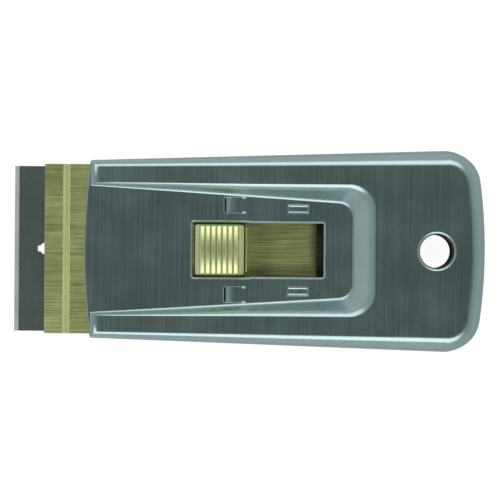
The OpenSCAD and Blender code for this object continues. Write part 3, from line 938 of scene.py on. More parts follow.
@dataclass
class HandleShell:
    """Upper pressing of the handle: skirt, rails, sunk recess, window, lances, hang hole and hem."""

    front_x: float = -38.25
    rear_x: float = 54.45
    rear_h: float = 10.2
    front_w: float = 41.4
    rear_w: float = 47.4
    sheet_t: float = 0.7
    corner_r: float = 8.4
    corner_steps: int = 29
    rear_bow_r: float = 117.0
    rear_bow_steps: int = 17
    front_bow_r: float = 143.0
    front_bow_steps: int = 81
    edge_front_w: float = 1.9
    edge_rear_w: float = 4.2
    hem_w: float = 1.7
    hem_round: float = 0.4
    nose_l: float = 1.5
    nose_rise_l: float = 0.6
    nose_round_l: float = 2.6
    nose_steps: int = 15
    front_roll_w: float = 0.45
    front_roll_h: float = 0.3
    floor_z: float = 5.05
    rail_h: float = 0.8
    recess_w: float = 31.0
    recess_end_x: float = 29.05
    recess_corner_r: float = 6.0
    recess_corner_steps: int = 25
    recess_side_steps: int = 30
    recess_wall_steps: int = 25
    floor_corner_r: float = 3.4
    foot_fillet: float = 1.0
    foot_most_share: float = 0.4
    rim_fillet: float = 1.6
    rim_most_share: float = 0.55
    end_rim_gain: float = 0.6
    side_run_share: float = 1.36
    end_run_share: float = 1.45
    wall_grow_share: float = 0.45
    rim_rise: float = 0.03
    draft_share: float = 0.18
    foot_share: float = 0.76
    shoulder: tuple[float, float, float] = (0.55, 0.86, 0.42)
    shoulder_steps: tuple[int, int] = (12, 7)
    shoulder_power: float = 1.3
    window: tuple[float, float, float] = (-13.25, 16.95, 12.35)
    window_border: float = 0.45
    window_corner_r: float = 0.25
    notch_depth: float = 0.13
    notch_l: float = 13.4
    stop: tuple[float, float, float] = (-5.95, -5.6, -1.0)
    stop_w: float = 3.4
    stop_y: float = 10.3
    stop_drop: float = 0.63
    stop_bend: tuple[tuple[float, int], ...] = ((0.2, 2), (0.8, 6))
    stop_steps: int = 13
    dent_stretch: tuple[float, float, float] = (1.6, 0.8, 0.7)
    dent_arc: tuple[int, int] = (-90, 31)
    dent_tip_r: float = 0.01
    dent_steps: int = 20
    lance_flare: float = 0.22
    coined_shares: tuple[tuple[float, float], ...] = ((-0.8, 0.0), (-0.7, 0.06), (-0.06, 0.9), (0.0, 1.0))
    guide: tuple[float, float] = (11.05, 9.45)
    guide_l: float = 5.1
    guide_w: float = 2.4
    guide_depth: float = 0.49
    guide_slope: float = 0.7
    guide_walls: tuple[tuple[float, float], ...] = ((-1.0, 1.0), (-0.8, 0.62), (-0.2, 0.15), (0.0, 0.0))
    guide_end_share: float = 0.6
    guide_lift_share: float = 0.3
    guide_corner_r: float = 0.25
    hang_x: float = 42.55
    hang_r: float = 3.8
    hang_rim_r: float = 0.8
    hang_rim_arc: tuple[int, int, int] = (70, 6, -7)
    hang_rim_edge: tuple[float, float] = (0.25, 0.02)
    hang_rim_depth_share: float = 1.4
    hang_rim_inset_share: float = 0.3
    hang_rim_axis_r: float = 0.05
    hang_collar_l: float = 2.2
    hang_collar_edge: float = 0.2
    hang_collar_sink: float = 0.035
    bore_margin: float = 0.1
    drawn_cosine: float = 0.985

    def __post_init__(self) -> None:
        """Works out the slopes and the rear corners from the driving sizes."""
        self.nose_foot_x = self.front_x + (self.front_w / 2) ** 2 / (2 * self.front_bow_r)
        self.nose_x = self.nose_foot_x + self.nose_l
        self.nose_z = self.floor_z + self.rail_h
        self.floor_under_z = self.floor_z - self.sheet_t
        self.rail_slope = (self.rear_h - self.nose_z) / (self.rear_x - self.nose_x)
        length = self.rear_x - self.nose_foot_x
        self.side_slope = (self.rear_w - self.front_w) / 2 / length
        self.edge_slope = (self.edge_rear_w - self.edge_front_w) / length
        side_angle = math.atan(self.side_slope)
        self.bow_x = self.rear_x - self.rear_bow_r
        level = self.half_w(0.0) - self.corner_r / math.cos(side_angle)
        a = 1 + self.side_slope**2
        b = self.side_slope * level - self.bow_x
        c = self.bow_x**2 + level**2 - (self.rear_bow_r - self.corner_r) ** 2
        self.corner_x = (-b + math.sqrt(b * b - a * c)) / a
        self.corner_y = level + self.side_slope * self.corner_x
        self.bow_angle = math.atan2(self.corner_y, self.corner_x - self.bow_x)
        self.normal_angle = math.pi / 2 + side_angle

    def rail_z(self, x: float | np.ndarray) -> float | np.ndarray:
        """Height of the rails at a place along the length."""
        return self.nose_z + (x - self.nose_x) * self.rail_slope

    def side_run(self, x: float | np.ndarray) -> float | np.ndarray:
        """Width of the recess's side walls, seen from above, at a place along the length."""
        return self.side_run_share * (self.rail_z(x) - self.floor_z)

    def half_w(self, x: float) -> float:
        """Half the handle's width at a place along the length."""
        return self.front_w / 2 + (x - self.nose_foot_x) * self.side_slope

    def stations(self, from_x: float) -> np.ndarray:
        """Stations round the outline from the front of its -Y side.

        Args:
            from_x: X at which the two straight sides start.

        Returns:
            One row for each station: centre X, centre Y, radius and direction.
        """
        half = self.half_w(from_x)
        rows = [(from_x, -half, 0.0, -self.normal_angle)]
        for a in np.linspace(self.normal_angle, self.bow_angle, self.corner_steps):
            rows.append((self.corner_x, -self.corner_y, self.corner_r, -a))
        for a in np.linspace(-self.bow_angle, self.bow_angle, self.rear_bow_steps)[1:-1]:
            rows.append((self.bow_x, 0.0, self.rear_bow_r, a))
        for a in np.linspace(self.bow_angle, self.normal_angle, self.corner_steps):
            rows.append((self.corner_x, self.corner_y, self.corner_r, a))
        rows.append((from_x, half, 0.0, self.normal_angle))
        return np.array(rows)

    def outline(self, share: float, inset: float, from_x: float) -> np.ndarray:
        """Outline set in by a share of the local skirt width and a further length.

        Args:
            share: Share of the skirt's width seen from above.
            inset: Further inset.
            from_x: X at which the sides start.

        Returns:
            X and Y of each station.
        """
        cx, cy, r, a = self.stations(from_x).T
        wide = self.edge_front_w + (cx + r * np.cos(a) - self.nose_foot_x) * self.edge_slope
        d = share * wide + inset
        return np.column_stack([cx + (r - d) * np.cos(a), cy + (r - d) * np.sin(a)])

    def shoulder_shares(self) -> Outline:
        """Section of the skirt's shoulder: rounded at the rails, a straight flank, then rounded at its foot.

        Returns:
            Shares of its width and of its fall, from the foot up to the rails.
        """
        crown, flank, foot_fall = self.shoulder
        crown_steps, foot_steps = self.shoulder_steps
        slope = (1 - foot_fall) / (flank - crown / 2)
        shares = []
        for out in np.linspace(0, crown, crown_steps):
            shares.append((float(out), slope * float(out) ** 2 / (2 * crown)))
        for a in np.radians(np.linspace(0, 90, foot_steps)):
            fall = 1 - foot_fall * math.cos(a) ** self.shoulder_power
            shares.append((flank + (1 - flank) * math.sin(a), fall))
        return shares[::-1]

    def skirt(self, name: str, depth: float, from_x: float) -> bpy.types.Object:
        """Solid inside the skirt's outer face, or inside its inner face.

        Args:
            name: Name of the solid.
            depth: Zero, or the sheet's thickness for the inner face.
            from_x: X at which the sides start.

        Returns:
            The solid.
        """
        rings = []
        if depth == 0:
            for a in np.radians(np.arange(0, 90, ARC_STEP)):
                flat = self.outline(0.0, self.hem_round * (1 - math.sin(a)), from_x)
                rings.append(level_ring(flat, self.hem_round * (1 - math.cos(a))))
        else:
            rings.append(level_ring(self.outline(0.0, depth, from_x), depth))
        for out, fall in self.shoulder_shares():
            inset_share = 1 - (1 - self.draft_share) * out
            height_share = 1 - (1 - self.foot_share) * fall
            flat = self.outline(inset_share, depth, from_x)
            height = depth + height_share * (self.rail_z(flat[:, 0]) - 2 * depth)
            rings.append(np.column_stack([flat, height]))
        return loft(name, rings)

    def recess_outline(self, share: float, grow: float, from_x: float) -> np.ndarray:
        """Outline of the recess between its floor and its rim.

        Args:
            share: 0 at the floor and 1 at the rim.
            grow: Growth for the sheet's far face.
            from_x: X at which the two sides start.

        Returns:
            X and Y of each station, counter-clockwise from the front of the -Y side.
        """
        back = 1 - share
        tall = self.rail_z(self.recess_end_x) - self.floor_z
        end_x = self.recess_end_x + grow - back * tall * self.end_run_share
        r = self.floor_corner_r + (self.recess_corner_r - self.floor_corner_r) * share + grow
        wide = self.recess_w / 2 + grow
        rear_half = wide - back * self.side_run(end_x - r)
        side_x = np.linspace(from_x, end_x - r, self.recess_side_steps)[:-1]
        side_y = wide - back * self.side_run(side_x)
        arc = np.linspace(0, math.pi / 2, self.recess_corner_steps)
        corner = np.column_stack([end_x - r + r * np.sin(arc), -rear_half + r - r * np.cos(arc)])
        lower = np.concatenate([np.column_stack([side_x, -side_y]), corner])
        return np.concatenate([lower, (lower * (1, -1))[::-1]])

    def recess(self, name: str, depth: float, from_x: float) -> bpy.types.Object:
        """Solid that sinks the recess, with a fillet of one size along its foot and another along its rim.

        Args:
            name: Name of the solid.
            depth: Zero, or the sheet's thickness for its far face.
            from_x: X at which the two sides start.

        Returns:
            The solid.
        """
        grow = depth * self.wall_grow_share
        inner = self.recess_outline(0.0, grow, from_x)
        outer = self.recess_outline(1.0, grow, from_x)
        run = np.linalg.norm(outer - inner, axis=1)
        endwise = (outer - inner)[:, 0] / run
        foot = np.minimum(self.foot_fillet / run, self.foot_most_share)
        rim = np.minimum(self.rim_fillet * (1 + self.end_rim_gain * endwise) / run, self.rim_most_share)
        slope = 1 / (1 - (foot + rim) / 2)
        rings = []
        for t in np.linspace(0, 3, self.recess_wall_steps):
            if t <= 1:
                share = foot * t
                rise = slope * share**2 / (2 * foot)
            elif t < 2:
                share = foot + (1 - foot - rim) * (t - 1)
                rise = slope * (share - foot / 2)
            else:
                share = 1 - rim * (3 - t)
                rise = 1 - slope * (1 - share) ** 2 / (2 * rim)
            flat = inner + (outer - inner) * share[:, None]
            tall = self.rail_z(flat[:, 0]) - self.floor_z + self.rim_rise
            rings.append(np.column_stack([flat, self.floor_z - depth + rise * tall]))
        rings.append(rings[-1] + (0.0, 0.0, OVERRUN))
        return loft(name, rings)

    def nose_cut(self, drop: float) -> bpy.types.Object:
        """Solid over the rails' rounded front ends.

        Args:
            drop: Zero, or the sheet's thickness for its far face.

        Returns:
            The solid.
        """
        low = self.floor_z - drop
        far_x = self.front_x - 4 * OVERRUN
        end_x = self.nose_foot_x + self.nose_round_l
        rail = self.rail_z(end_x) - drop + self.rim_rise
        knee_z = rail - self.rail_slope * (self.nose_round_l - self.nose_rise_l)
        first = np.array((self.nose_foot_x, low))
        knee = np.array((self.nose_foot_x + self.nose_rise_l, knee_z))
        last = np.array((end_x, rail))
        slope = []
        for t in np.linspace(0, 1, self.nose_steps):
            slope.append(tuple((1 - t) ** 2 * first + 2 * t * (1 - t) * knee + t**2 * last))
        top = self.rear_h + OVERRUN
        return across("nose_cut", [(far_x, low), *slope, (end_x, top), (far_x, top)], self.rear_w + OVERRUN)

    def front_bow(self) -> bpy.types.Object:
        """Solid behind the bowed front edge, which is rolled down a little.

        Returns:
            The solid.
        """
        y = np.linspace(self.rear_w / 2 + OVERRUN, -self.rear_w / 2 - OVERRUN, self.front_bow_steps)
        x = self.front_x + self.front_bow_r - np.sqrt(self.front_bow_r**2 - y**2)
        back = self.rear_x + OVERRUN
        steps = [(-OVERRUN, 0.0)]
        for a in np.radians(np.arange(0, 91, ARC_STEP)):
            height = self.floor_z - self.front_roll_h * (1 - math.sin(a))
            steps.append((height, self.front_roll_w * (1 - math.cos(a))))
        steps.append((self.rear_h + OVERRUN, self.front_roll_w))
        rings = []
        for height, shift in steps:
            flat = np.concatenate([np.column_stack([x + shift, y]), [(back, y[-1]), (back, y[0])]])
            rings.append(level_ring(flat, height))
        return loft("front_bow", rings)

    def flared_cut(
        self, low: tuple[float, float], high: tuple[float, float], flare: float, corner_r: float
    ) -> bpy.types.Object:
        """Solid that cuts a hole with a rolled upper edge through the recess floor.

        Args:
            low: Lowest X and Y of the hole.
            high: Highest X and Y of the hole.
            flare: Width of the rolled edge.
            corner_r: Corner radius of the hole.

        Returns:
            The solid.
        """
        length, width = high[0] - low[0], high[1] - low[1]
        middle = ((low[0] + high[0]) / 2, (low[1] + high[1]) / 2)
        steps = [(-self.sheet_t - OVERRUN, 0.0)]
        steps += [(flare * height, flare * grow) for height, grow in self.coined_shares]
        steps.append((OVERRUN, flare + OVERRUN))
        rings = []
        for height, grow in steps:
            size = (length + 2 * grow, width + 2 * grow, corner_r + grow)
            flat = np.array(rounded_rectangle(*size, SMALL_CORNER_STEPS)) + middle
            rings.append(level_ring(flat, self.floor_z + height))
        return loft("flared_cut", rings)

    def cut_openings(self, shell: bpy.types.Object) -> None:
        """Cuts the window with its lock notches, the stop lances and the guides into the recess floor.

        Args:
            shell: The shell.
        """
        front, rear, wide = self.window
        for half, end in ((wide / 2, rear), (wide / 2 + self.notch_depth, front + self.notch_l)):
            hole = self.flared_cut((front, -half), (end, half), self.window_border, self.window_corner_r)
            work(shell, hole, Joinery.CUT)
        slit, _, hinge = self.stop
        for side in (-1, 1):
            y = side * self.stop_y
            low, high = (slit, y - self.stop_w / 2), (hinge, y + self.stop_w / 2)
            work(shell, self.flared_cut(low, high, self.lance_flare, self.lance_flare), Joinery.CUT)
            work(shell, self.stop_tab(y), Joinery.JOIN)
            for dent in self.hinge_dents(y):
                work(shell, dent, Joinery.CUT)
            work(shell, self.guide_trough(side, self.sheet_t), Joinery.JOIN)
            work(shell, self.guide_trough(side, 0.0), Joinery.CUT)

    def stop_tab(self, y: float) -> bpy.types.Object:
        """Tab of a stop lance, bent down from its hinge in a smooth curve.

        Args:
            y: Y of the tab's middle.

        Returns:
            The tab.
        """
        _, free, hinge = self.stop
        shares = np.linspace(0, 1, self.stop_steps)
        xs = hinge + (free - hinge) * shares
        drops = self.stop_drop * sum(weight * shares**power for weight, power in self.stop_bend)
        upper = [(x, self.floor_z - d) for x, d in zip(xs, drops)]
        lower = [(x, self.floor_under_z - d) for x, d in zip(xs, drops)]
        root = hinge + self.sheet_t
        profile = [(root, self.floor_z), *upper, *lower[::-1], (root, self.floor_under_z)]
        return across("stop_tab", profile, self.stop_w, y)

    def hinge_dents(self, y: float) -> list[bpy.types.Object]:
        """Small drawn-in marks at the two hinge corners of a stop tab.

        Args:
            y: Y of the tab's middle.

        Returns:
            The two cutting solids.
        """
        r = 2 * self.lance_flare
        profile = []
        for a in np.radians(np.arange(*self.dent_arc, ARC_STEP)):
            profile.append((max(r * math.cos(a), self.dent_tip_r), r * math.sin(a)))
        dents = []
        for side in (-1, 1):
            dent = lathe("hinge_dent", profile, self.dent_steps)
            dent.data.transform(Matrix.Diagonal((*self.dent_stretch, 1.0)))
            middle = y + side * self.stop_w / 2
            dents.append(place(dent, self.stop[2] - r, middle, self.floor_z + r / 3))
        return dents

    def guide_trough(self, side: int, depth: float) -> bpy.types.Object:
        """Trough of a tongue guide, with sloped walls.

        Args:
            side: -1 or 1, the side of the handle.
            depth: Zero, or the sheet's thickness for the trough's far face.

        Returns:
            The solid.
        """
        x, y = self.guide
        lift = self.sheet_t * self.guide_lift_share if depth else OVERRUN
        steps = [(up * self.guide_depth, inward * self.guide_slope) for up, inward in self.guide_walls]
        steps.append((lift, 0.0 if depth else -lift))
        rings = []
        for height, inset in steps:
            size = (self.guide_l - 2 * self.guide_end_share * inset, self.guide_w - 2 * inset)
            flat = np.array(rounded_rectangle(*size, self.guide_corner_r, SMALL_CORNER_STEPS)) + (x, side * y)
            rings.append(level_ring(flat, self.floor_z - depth + height))
        return loft("guide_trough", rings)

    def add_hang_hole(self, shell: bpy.types.Object) -> None:
        """Draws the hang hole's collar down, rounds its rim and bores it.

        Args:
            shell: The shell.
        """
        collar_r = self.hang_r + self.sheet_t
        edge = self.hang_collar_edge
        top = self.rail_z(self.hang_x - collar_r) - self.hang_collar_sink
        foot = top - self.hang_collar_l
        collar = lathe("collar", [(collar_r - edge, foot), (collar_r, foot + edge), (collar_r, top)])
        work(shell, place(collar, self.hang_x, 0, 0), Joinery.JOIN)
        rim_r, axis_r = self.hang_rim_r, self.hang_rim_axis_r
        low = -self.hang_rim_depth_share * rim_r
        profile = [(axis_r, low), (self.hang_r - self.hang_rim_inset_share * rim_r, low)]
        for a in np.radians(np.arange(*self.hang_rim_arc)):
            profile.append((self.hang_r + rim_r * (1 - math.sin(a)), rim_r * (math.cos(a) - 1)))
        outer = self.hang_r + rim_r
        edge_w, edge_h = self.hang_rim_edge
        profile += [(outer + edge_w, edge_h), (outer + OVERRUN, OVERRUN), (axis_r, OVERRUN)]
        tilt = -math.atan(self.rail_slope)
        rim = place(lathe("rim", profile), self.hang_x, 0, self.rail_z(self.hang_x), tilt)
        work(shell, rim, Joinery.CUT)
        bore = drill(self.hang_r, (self.hang_x, 0.0), -OVERRUN, self.rear_h + OVERRUN, ROUND_STEPS)
        work(shell, bore, Joinery.CUT)

    def build(self) -> None:
        """Builds the shell's mesh and has it dressed."""
        start = self.front_x - OVERRUN
        shell = self.skirt("top_shell_form", 0.0, start)
        work(shell, self.nose_cut(0.0), Joinery.CUT)
        work(shell, self.recess("recess", 0.0, start - OVERRUN), Joinery.CUT)
        hollow = self.skirt("hollow", self.sheet_t, start - OVERRUN)
        work(hollow, self.nose_cut(self.sheet_t), Joinery.CUT)
        work(hollow, self.recess("recess_back", self.sheet_t, start - 2 * OVERRUN), Joinery.CUT)
        work(shell, hollow, Joinery.CUT)
        opening = self.outline(0.0, self.hem_w, start - OVERRUN)
        work(shell, prism("opening", opening, -OVERRUN, self.sheet_t + OVERRUN), Joinery.CUT)
        work(shell, self.front_bow(), Joinery.KEEP)
        self.cut_openings(shell)
        self.add_hang_hole(shell)
        weld(shell)
        self.dress(shell)

    def dress(self, shell: bpy.types.Object) -> None:
        """Gives the flat sheet and its drawn curves their finishes, and paints shade on the inside of the
        bore.

        Args:
            shell: The shell's mesh object.
        """
        number = add_finishes(shell, SATIN_STEEL, DRAWN_STEEL, PAINTED_SHADE_STEEL)
        for face in shell.data.polygons:
            # Faces of the bore's wall take painted shade
            bored = math.hypot(face.center.x - self.hang_x, face.center.y) < self.hang_r + self.bore_margin
            if abs(face.normal.z) >= self.drawn_cosine:
                face.material_index = number[SATIN_STEEL]
            else:
                face.material_index = number[PAINTED_SHADE_STEEL if bored else DRAWN_STEEL]
        shade(shell)
        hand_over(shell, "satin_top_shell", "handle", SATIN_STEEL, "top_shell")


@dataclass
class Carrier:
    """Brass-plated upper jaw and tongue in one sheet."""

    front_x: float
    tongue_end_x: float
    width: float
    rivets: Outline
    low_z: float = 3.6
    thick: float = 0.6
    edge_round: float = 0.06
    shoulder_x: float = -23.25
    tongue_w: float = 16.2
    bead_x: float = -42.35
    bead_w: float = 1.6
    bead_depth: float = 0.35
    bead_steps: int = 25
    bead_margin: float = 0.05
    lip_t: float = 0.3
    lip_z: float = 1.55
    lip_set_back: float = 0.8
    lip_corner: float = 0.6
    lip_inset: float = 0.001
    opening: tuple[float, float] = (-12.6, -1.4)
    opening_w: float = 11.6
    opening_gap: float = 0.25
    opening_corner_r: float = 0.8
    rear_lip_w: float = 0.45
    rear_lip_h: float = 0.3
    rear_lip_steps: int = 13
    rivet_hole_r: float = 1.36
    level_margin: float = 0.001

    def build(self) -> None:
        """Builds the carrier plate's mesh and has it dressed."""
        plate = self.sheet()
        work(plate, self.plan(), Joinery.KEEP)
        low, high = self.low_z - OVERRUN, self.low_z + OVERRUN
        gap = 2 * self.opening_gap
        size = (self.opening[1] - self.opening[0] + gap, self.opening_w + gap, self.opening_corner_r)
        flat = np.array(rounded_rectangle(*size)) + (sum(self.opening) / 2, 0)
        work(plate, prism("opening", flat, low, high), Joinery.CUT)
        for spot in self.rivets:
            work(plate, drill(self.rivet_hole_r, spot, low, high), Joinery.CUT)
        for side in (-1, 1):
            work(plate, self.side_lip(side), Joinery.JOIN)
        work(plate, self.rear_lip(), Joinery.JOIN)
        soften(plate, self.edge_round)
        self.dress(plate)

    def dress(self, plate: bpy.types.Object) -> None:
        """Gives the jaw and its bead their finishes, and the tongue its darker finish with painted shade.

        Args:
            plate: The carrier plate's mesh object.
        """
        number = add_finishes(plate, BRASS_SHEET, BRASS_BEAD, BRASS_TONGUE_SHADED)
        top = self.low_z + self.thick
        for face in plate.data.polygons:
            in_bead = abs(face.center.x - self.bead_x) < self.bead_w / 2
            # The tongue's top takes the darker brass with painted shade
            if face.center.x > self.shoulder_x and face.center.z <= top + self.level_margin:
                face.material_index = number[BRASS_TONGUE_SHADED]
            elif in_bead and top - face.center.z < self.bead_depth + self.bead_margin:
                face.material_index = number[BRASS_BEAD]
        shade(plate)
        hand_over(plate, "brass_carrier_plate", "carriage", BRASS_SHEET, "carrier_plate")

    def sheet(self) -> bpy.types.Object:
        """Whole sheet with the bead rolled across it in a smooth wave.

        Returns:
            The sheet, as wide as the jaw.
        """
        start, end = self.bead_x - self.bead_w / 2, self.bead_x + self.bead_w / 2
        bead = []
        for share in np.linspace(0, 1, self.bead_steps):
            sink = self.bead_depth * (1 - math.cos(2 * math.pi * share)) / 2
            bead.append((start + (end - start) * share, sink))
        front, back = self.front_x, self.tongue_end_x
        top = self.low_z + self.thick
        lower = [(front, self.low_z), *[(x, self.low_z - s) for x, s in bead], (back, self.low_z)]
        upper = [(back, top), *[(x, top - s) for x, s in bead[::-1]], (front, top)]
        return across("carrier_sheet", lower + upper, self.width + OVERRUN)

    def plan(self) -> bpy.types.Object:
        """Plan of the jaw, its shoulders and the tongue.

        Returns:
            A prism with that outline.
        """
        half, tongue = self.width / 2, self.tongue_w / 2
        right = [(self.front_x, -half), (self.shoulder_x, -half), (self.shoulder_x, -tongue)]
        right.append((self.tongue_end_x, -tongue))
        left = [(x, -y) for x, y in reversed(right)]
        return prism("plan", right + left, self.lip_z, self.low_z + OVERRUN)

    def rear_lip(self) -> bpy.types.Object:
        """Raised, rounded edge of the opening behind the button.

        Returns:
            The lip.
        """
        start = self.opening[1] + self.opening_gap
        half = self.rear_lip_w / 2
        top = self.low_z + self.thick
        root = top - self.thick / 2
        profile = [(start, root), (start + self.rear_lip_w, root)]
        for a in np.linspace(0, math.pi, self.rear_lip_steps):
            profile.append((start + half + half * math.cos(a), top + self.rear_lip_h * math.sin(a)))
        return across("rear_lip", profile, self.opening_w - 2 * self.opening_corner_r)

    def side_lip(self, side: int) -> bpy.types.Object:
        """Lip folded down along one side of the jaw.

        Args:
            side: -1 or 1, the side of the jaw.

        Returns:
            The lip.
        """
        low_x, high_x = self.front_x + self.lip_set_back, self.shoulder_x - self.lip_set_back
        top = self.low_z + self.thick / 2
        corner = self.lip_corner
        profile = [(low_x, top), (low_x, self.lip_z + corner), (low_x + corner, self.lip_z)]
        profile += [(high_x - corner, self.lip_z), (high_x, self.lip_z + corner), (high_x, top)]
        middle = side * (self.width - self.lip_t) / 2
        return across("side_lip", profile, self.lip_t - 2 * self.lip_inset, middle)


@dataclass
class ThumbButton:
    """Ribbed, crowned button with the flange that holds it in under the carrier."""

    front_x: float = -12.6
    rear_x: float = -1.4
    width: float = 11.6
    crown_z: float = 7.3
    crown_fall: float = 1.15
    dome_fall: float = 0.35
    rib_count: int = 7
    rib_pitch: float = 1.3
    rib_depth: float = 0.24
    rib_squareness: float = 4.5
    groove_sink: float = 0.06
    apron_l: float = 1.15
    apron_fall: float = 0.8
    apron_power: float = 1.2
    flank_fall: float = 0.5
    flank_power: float = 1.4
    plain_edge: float = 0.5
    edge_round: float = 0.55
    edge_turn_share: float = 0.96
    corner_r: float = 0.55
    flange_z: float = 2.9
    flange_t: float = 0.6
    flange_w: float = 1.2
    flange_edge: float = 0.08
    # Height above the flange's top up to which faces take painted shade
    painted_shade_h: float = 0.05
    smooth_angle: float = 38.0
    margin: float = 0.1
    steps: tuple[int, int] = (225, 64)

    def __post_init__(self) -> None:
        """Works out where the ribs lie and how the crown is curved."""
        self.ribs_rear = self.rear_x - self.apron_l
        self.ribs_front = self.ribs_rear - self.rib_count * self.rib_pitch
        self.crown_r = ((self.width / 2) ** 2 + self.crown_fall**2) / (2 * self.crown_fall)

    def top_height(self, x: np.ndarray, y: np.ndarray) -> np.ndarray:
        """Height of the button's top before its grooves are pressed in.

        Args:
            x: X of the points.
            y: Y of the points.

        Returns:
            Z of the points.
        """
        half_ribs = (self.ribs_rear - self.ribs_front) / 2
        along = np.clip((x - (self.ribs_front + self.ribs_rear) / 2) / half_ribs, -1, 1)
        reach = np.clip(np.abs(y), 0, self.width / 2)
        arch = self.crown_r - np.sqrt(self.crown_r**2 - reach**2)
        rolled = np.clip((reach - self.width / 2 + self.edge_round) / self.edge_round, 0, 1)
        roll = self.edge_round * (1 - np.sqrt(1 - self.edge_turn_share * rolled**2))
        height = self.crown_z - self.dome_fall * along**2 - arch - roll
        ribbed = np.clip((self.width / 2 - np.abs(y)) / self.plain_edge, 0, 1)
        ahead = np.clip((self.ribs_front - x) / (self.ribs_front - self.front_x), 0, 1)
        behind = np.clip((x - self.ribs_rear) / self.apron_l, 0, 1)
        height -= self.flank_fall * ahead**self.flank_power + self.apron_fall * behind**self.apron_power
        outside = (x < self.ribs_front) | (x > self.ribs_rear)
        return height - np.where(outside, self.rib_depth * ribbed, 0.0)

    def block(self) -> bpy.types.Object:
        """Closed block under the plain top, a little larger than the button all round.

        Returns:
            The block.
        """
        nx, ny = self.steps
        x = np.linspace(self.front_x - self.margin, self.rear_x + self.margin, nx)
        y = np.linspace(-self.width / 2 - self.margin, self.width / 2 + self.margin, ny)
        gx, gy = np.meshgrid(x, y, indexing="ij")
        top = np.column_stack([gx.ravel(), gy.ravel(), self.top_height(gx, gy).ravel()])
        faces = []
        for i in range(nx - 1):
            for j in range(ny - 1):
                a = i * ny + j
                faces.append((a, a + ny, a + ny + 1, a + 1))
        rim = [i * ny for i in range(nx)] + [(nx - 1) * ny + j for j in range(1, ny)]
        rim += [i * ny + ny - 1 for i in range(nx - 2, -1, -1)] + list(range(ny - 2, 0, -1))
        foot = top[rim].copy()
        foot[:, 2] = self.flange_z + self.flange_t / 2
        first = len(top)
        for k in range(len(rim)):
            m = (k + 1) % len(rim)
            faces.append((rim[k], first + k, first + m, rim[m]))
        faces.append(tuple(range(first + len(rim) - 1, first - 1, -1)))
        return solid("button_block", np.concatenate([top, foot]), faces)

    def press_ribs(self, block: bpy.types.Object) -> None:
        """Presses the grooves between the ribs into the block's top by a geometry tree.

        Args:
            block: The block.
        """
        sizes = {
            "Front": self.ribs_front,
            "Pitch": self.rib_pitch,
            "Count": float(self.rib_count),
            "Depth": self.rib_depth,
            "Squareness": self.rib_squareness,
            "Half Width": self.width / 2,
            "Plain Edge": self.plain_edge,
            "Foot": self.flange_z + self.flange_t,
            "Finish": BRASS_BUTTON.material(),
        }
        run_tree(block, rib_tree(), sizes)

    def build(self) -> None:
        """Builds the button's mesh and has it dressed."""
        button = self.block()
        self.press_ribs(button)
        middle = ((self.front_x + self.rear_x) / 2, 0.0)
        length, wide = self.rear_x - self.front_x, 2 * self.flange_w
        plan = np.array(rounded_rectangle(length, self.width, self.corner_r)) + middle
        work(button, prism("plan", plan, 0.0, self.crown_z + OVERRUN), Joinery.KEEP)
        size = (length + wide, self.width + wide, self.corner_r + self.flange_w)
        flat = np.array(rounded_rectangle(*size)) + middle
        flange = prism("flange", flat, self.flange_z, self.flange_z + self.flange_t)
        soften(flange, self.flange_edge)
        work(button, flange, Joinery.JOIN)
        self.dress(button)

    def dress(self, button: bpy.types.Object) -> None:
        """Paints shade on the flange and in the grooves, and leaves the ribs bright, as their tree has
        dressed them.

        Args:
            button: The button's mesh object.
        """
        number = add_finishes(button, BRASS_PAINTED_SHADE, BRASS_GROOVE_SHADE)
        for face in button.data.polygons:
            x, y, z = face.center
            # Painted shade on the flange
            if z < self.flange_z + self.flange_t + self.painted_shade_h:
                face.material_index = number[BRASS_PAINTED_SHADE]
            # Painted shade in the grooves between the ribs
            elif self.ribs_front < x < self.ribs_rear and self.top_height(x, y) - z > self.groove_sink:
                face.material_index = number[BRASS_GROOVE_SHADE]
        shade(button, self.smooth_angle)
        hand_over(button, "brass_thumb_button", "button", BRASS_BUTTON, "thumb_button")


def run_tree(piece: bpy.types.Object, tree: bpy.types.NodeTree, values: dict[str, object]) -> None:
    """Runs a geometry tree on an object and keeps the result as its mesh.

    Args:
        piece: The object.
        tree: The geometry tree.
        values: Values by the names of the tree's inputs, set by their sockets' identifiers.
    """
    modifier = piece.modifiers.new(tree.name, "NODES")
    modifier.node_group = tree
    for item in tree.interface.items_tree:
        if item.in_out == "INPUT" and item.name in values:
            modifier[item.identifier] = values[item.name]
    bake(piece)


def geometry_tree(name: str, sizes: dict[str, str]) -> tuple[Sketch, dict, bpy.types.NodeSocket]:
    """Starts a geometry tree with named inputs, which ends in Realize Instances and Set Material.

    Args:
        name: Name of the tree.
        sizes: Names of its further inputs and their socket types.

    Returns:
        The tree's sketch, its input sockets by name and the socket that takes the finished geometry.
    """
    tree = bpy.data.node_groups.new(name, "GeometryNodeTree")
    tree.interface.new_socket(name="Geometry", in_out="INPUT", socket_type="NodeSocketGeometry")
    for label, kind in sizes.items():
        tree.interface.new_socket(name=label, in_out="INPUT", socket_type=kind)
    tree.interface.new_socket(name="Finish", in_out="INPUT", socket_type="NodeSocketMaterial")
    tree.interface.new_socket(name="Geometry", in_out="OUTPUT", socket_type="NodeSocketGeometry")
    sketch = Sketch(tree)
    source = sketch.add("NodeGroupInput")
    realize = sketch.add("GeometryNodeRealizeInstances")
    dress = sketch.add("GeometryNodeSetMaterial")
    sketch.fill(dress, {"Geometry": realize.outputs[0], "Material": source.outputs["Finish"]})
    sketch.feed(sketch.add("NodeGroupOutput").inputs[0], dress.outputs[0])
    return sketch, {s.name: s for s in source.outputs}, realize.inputs[0]


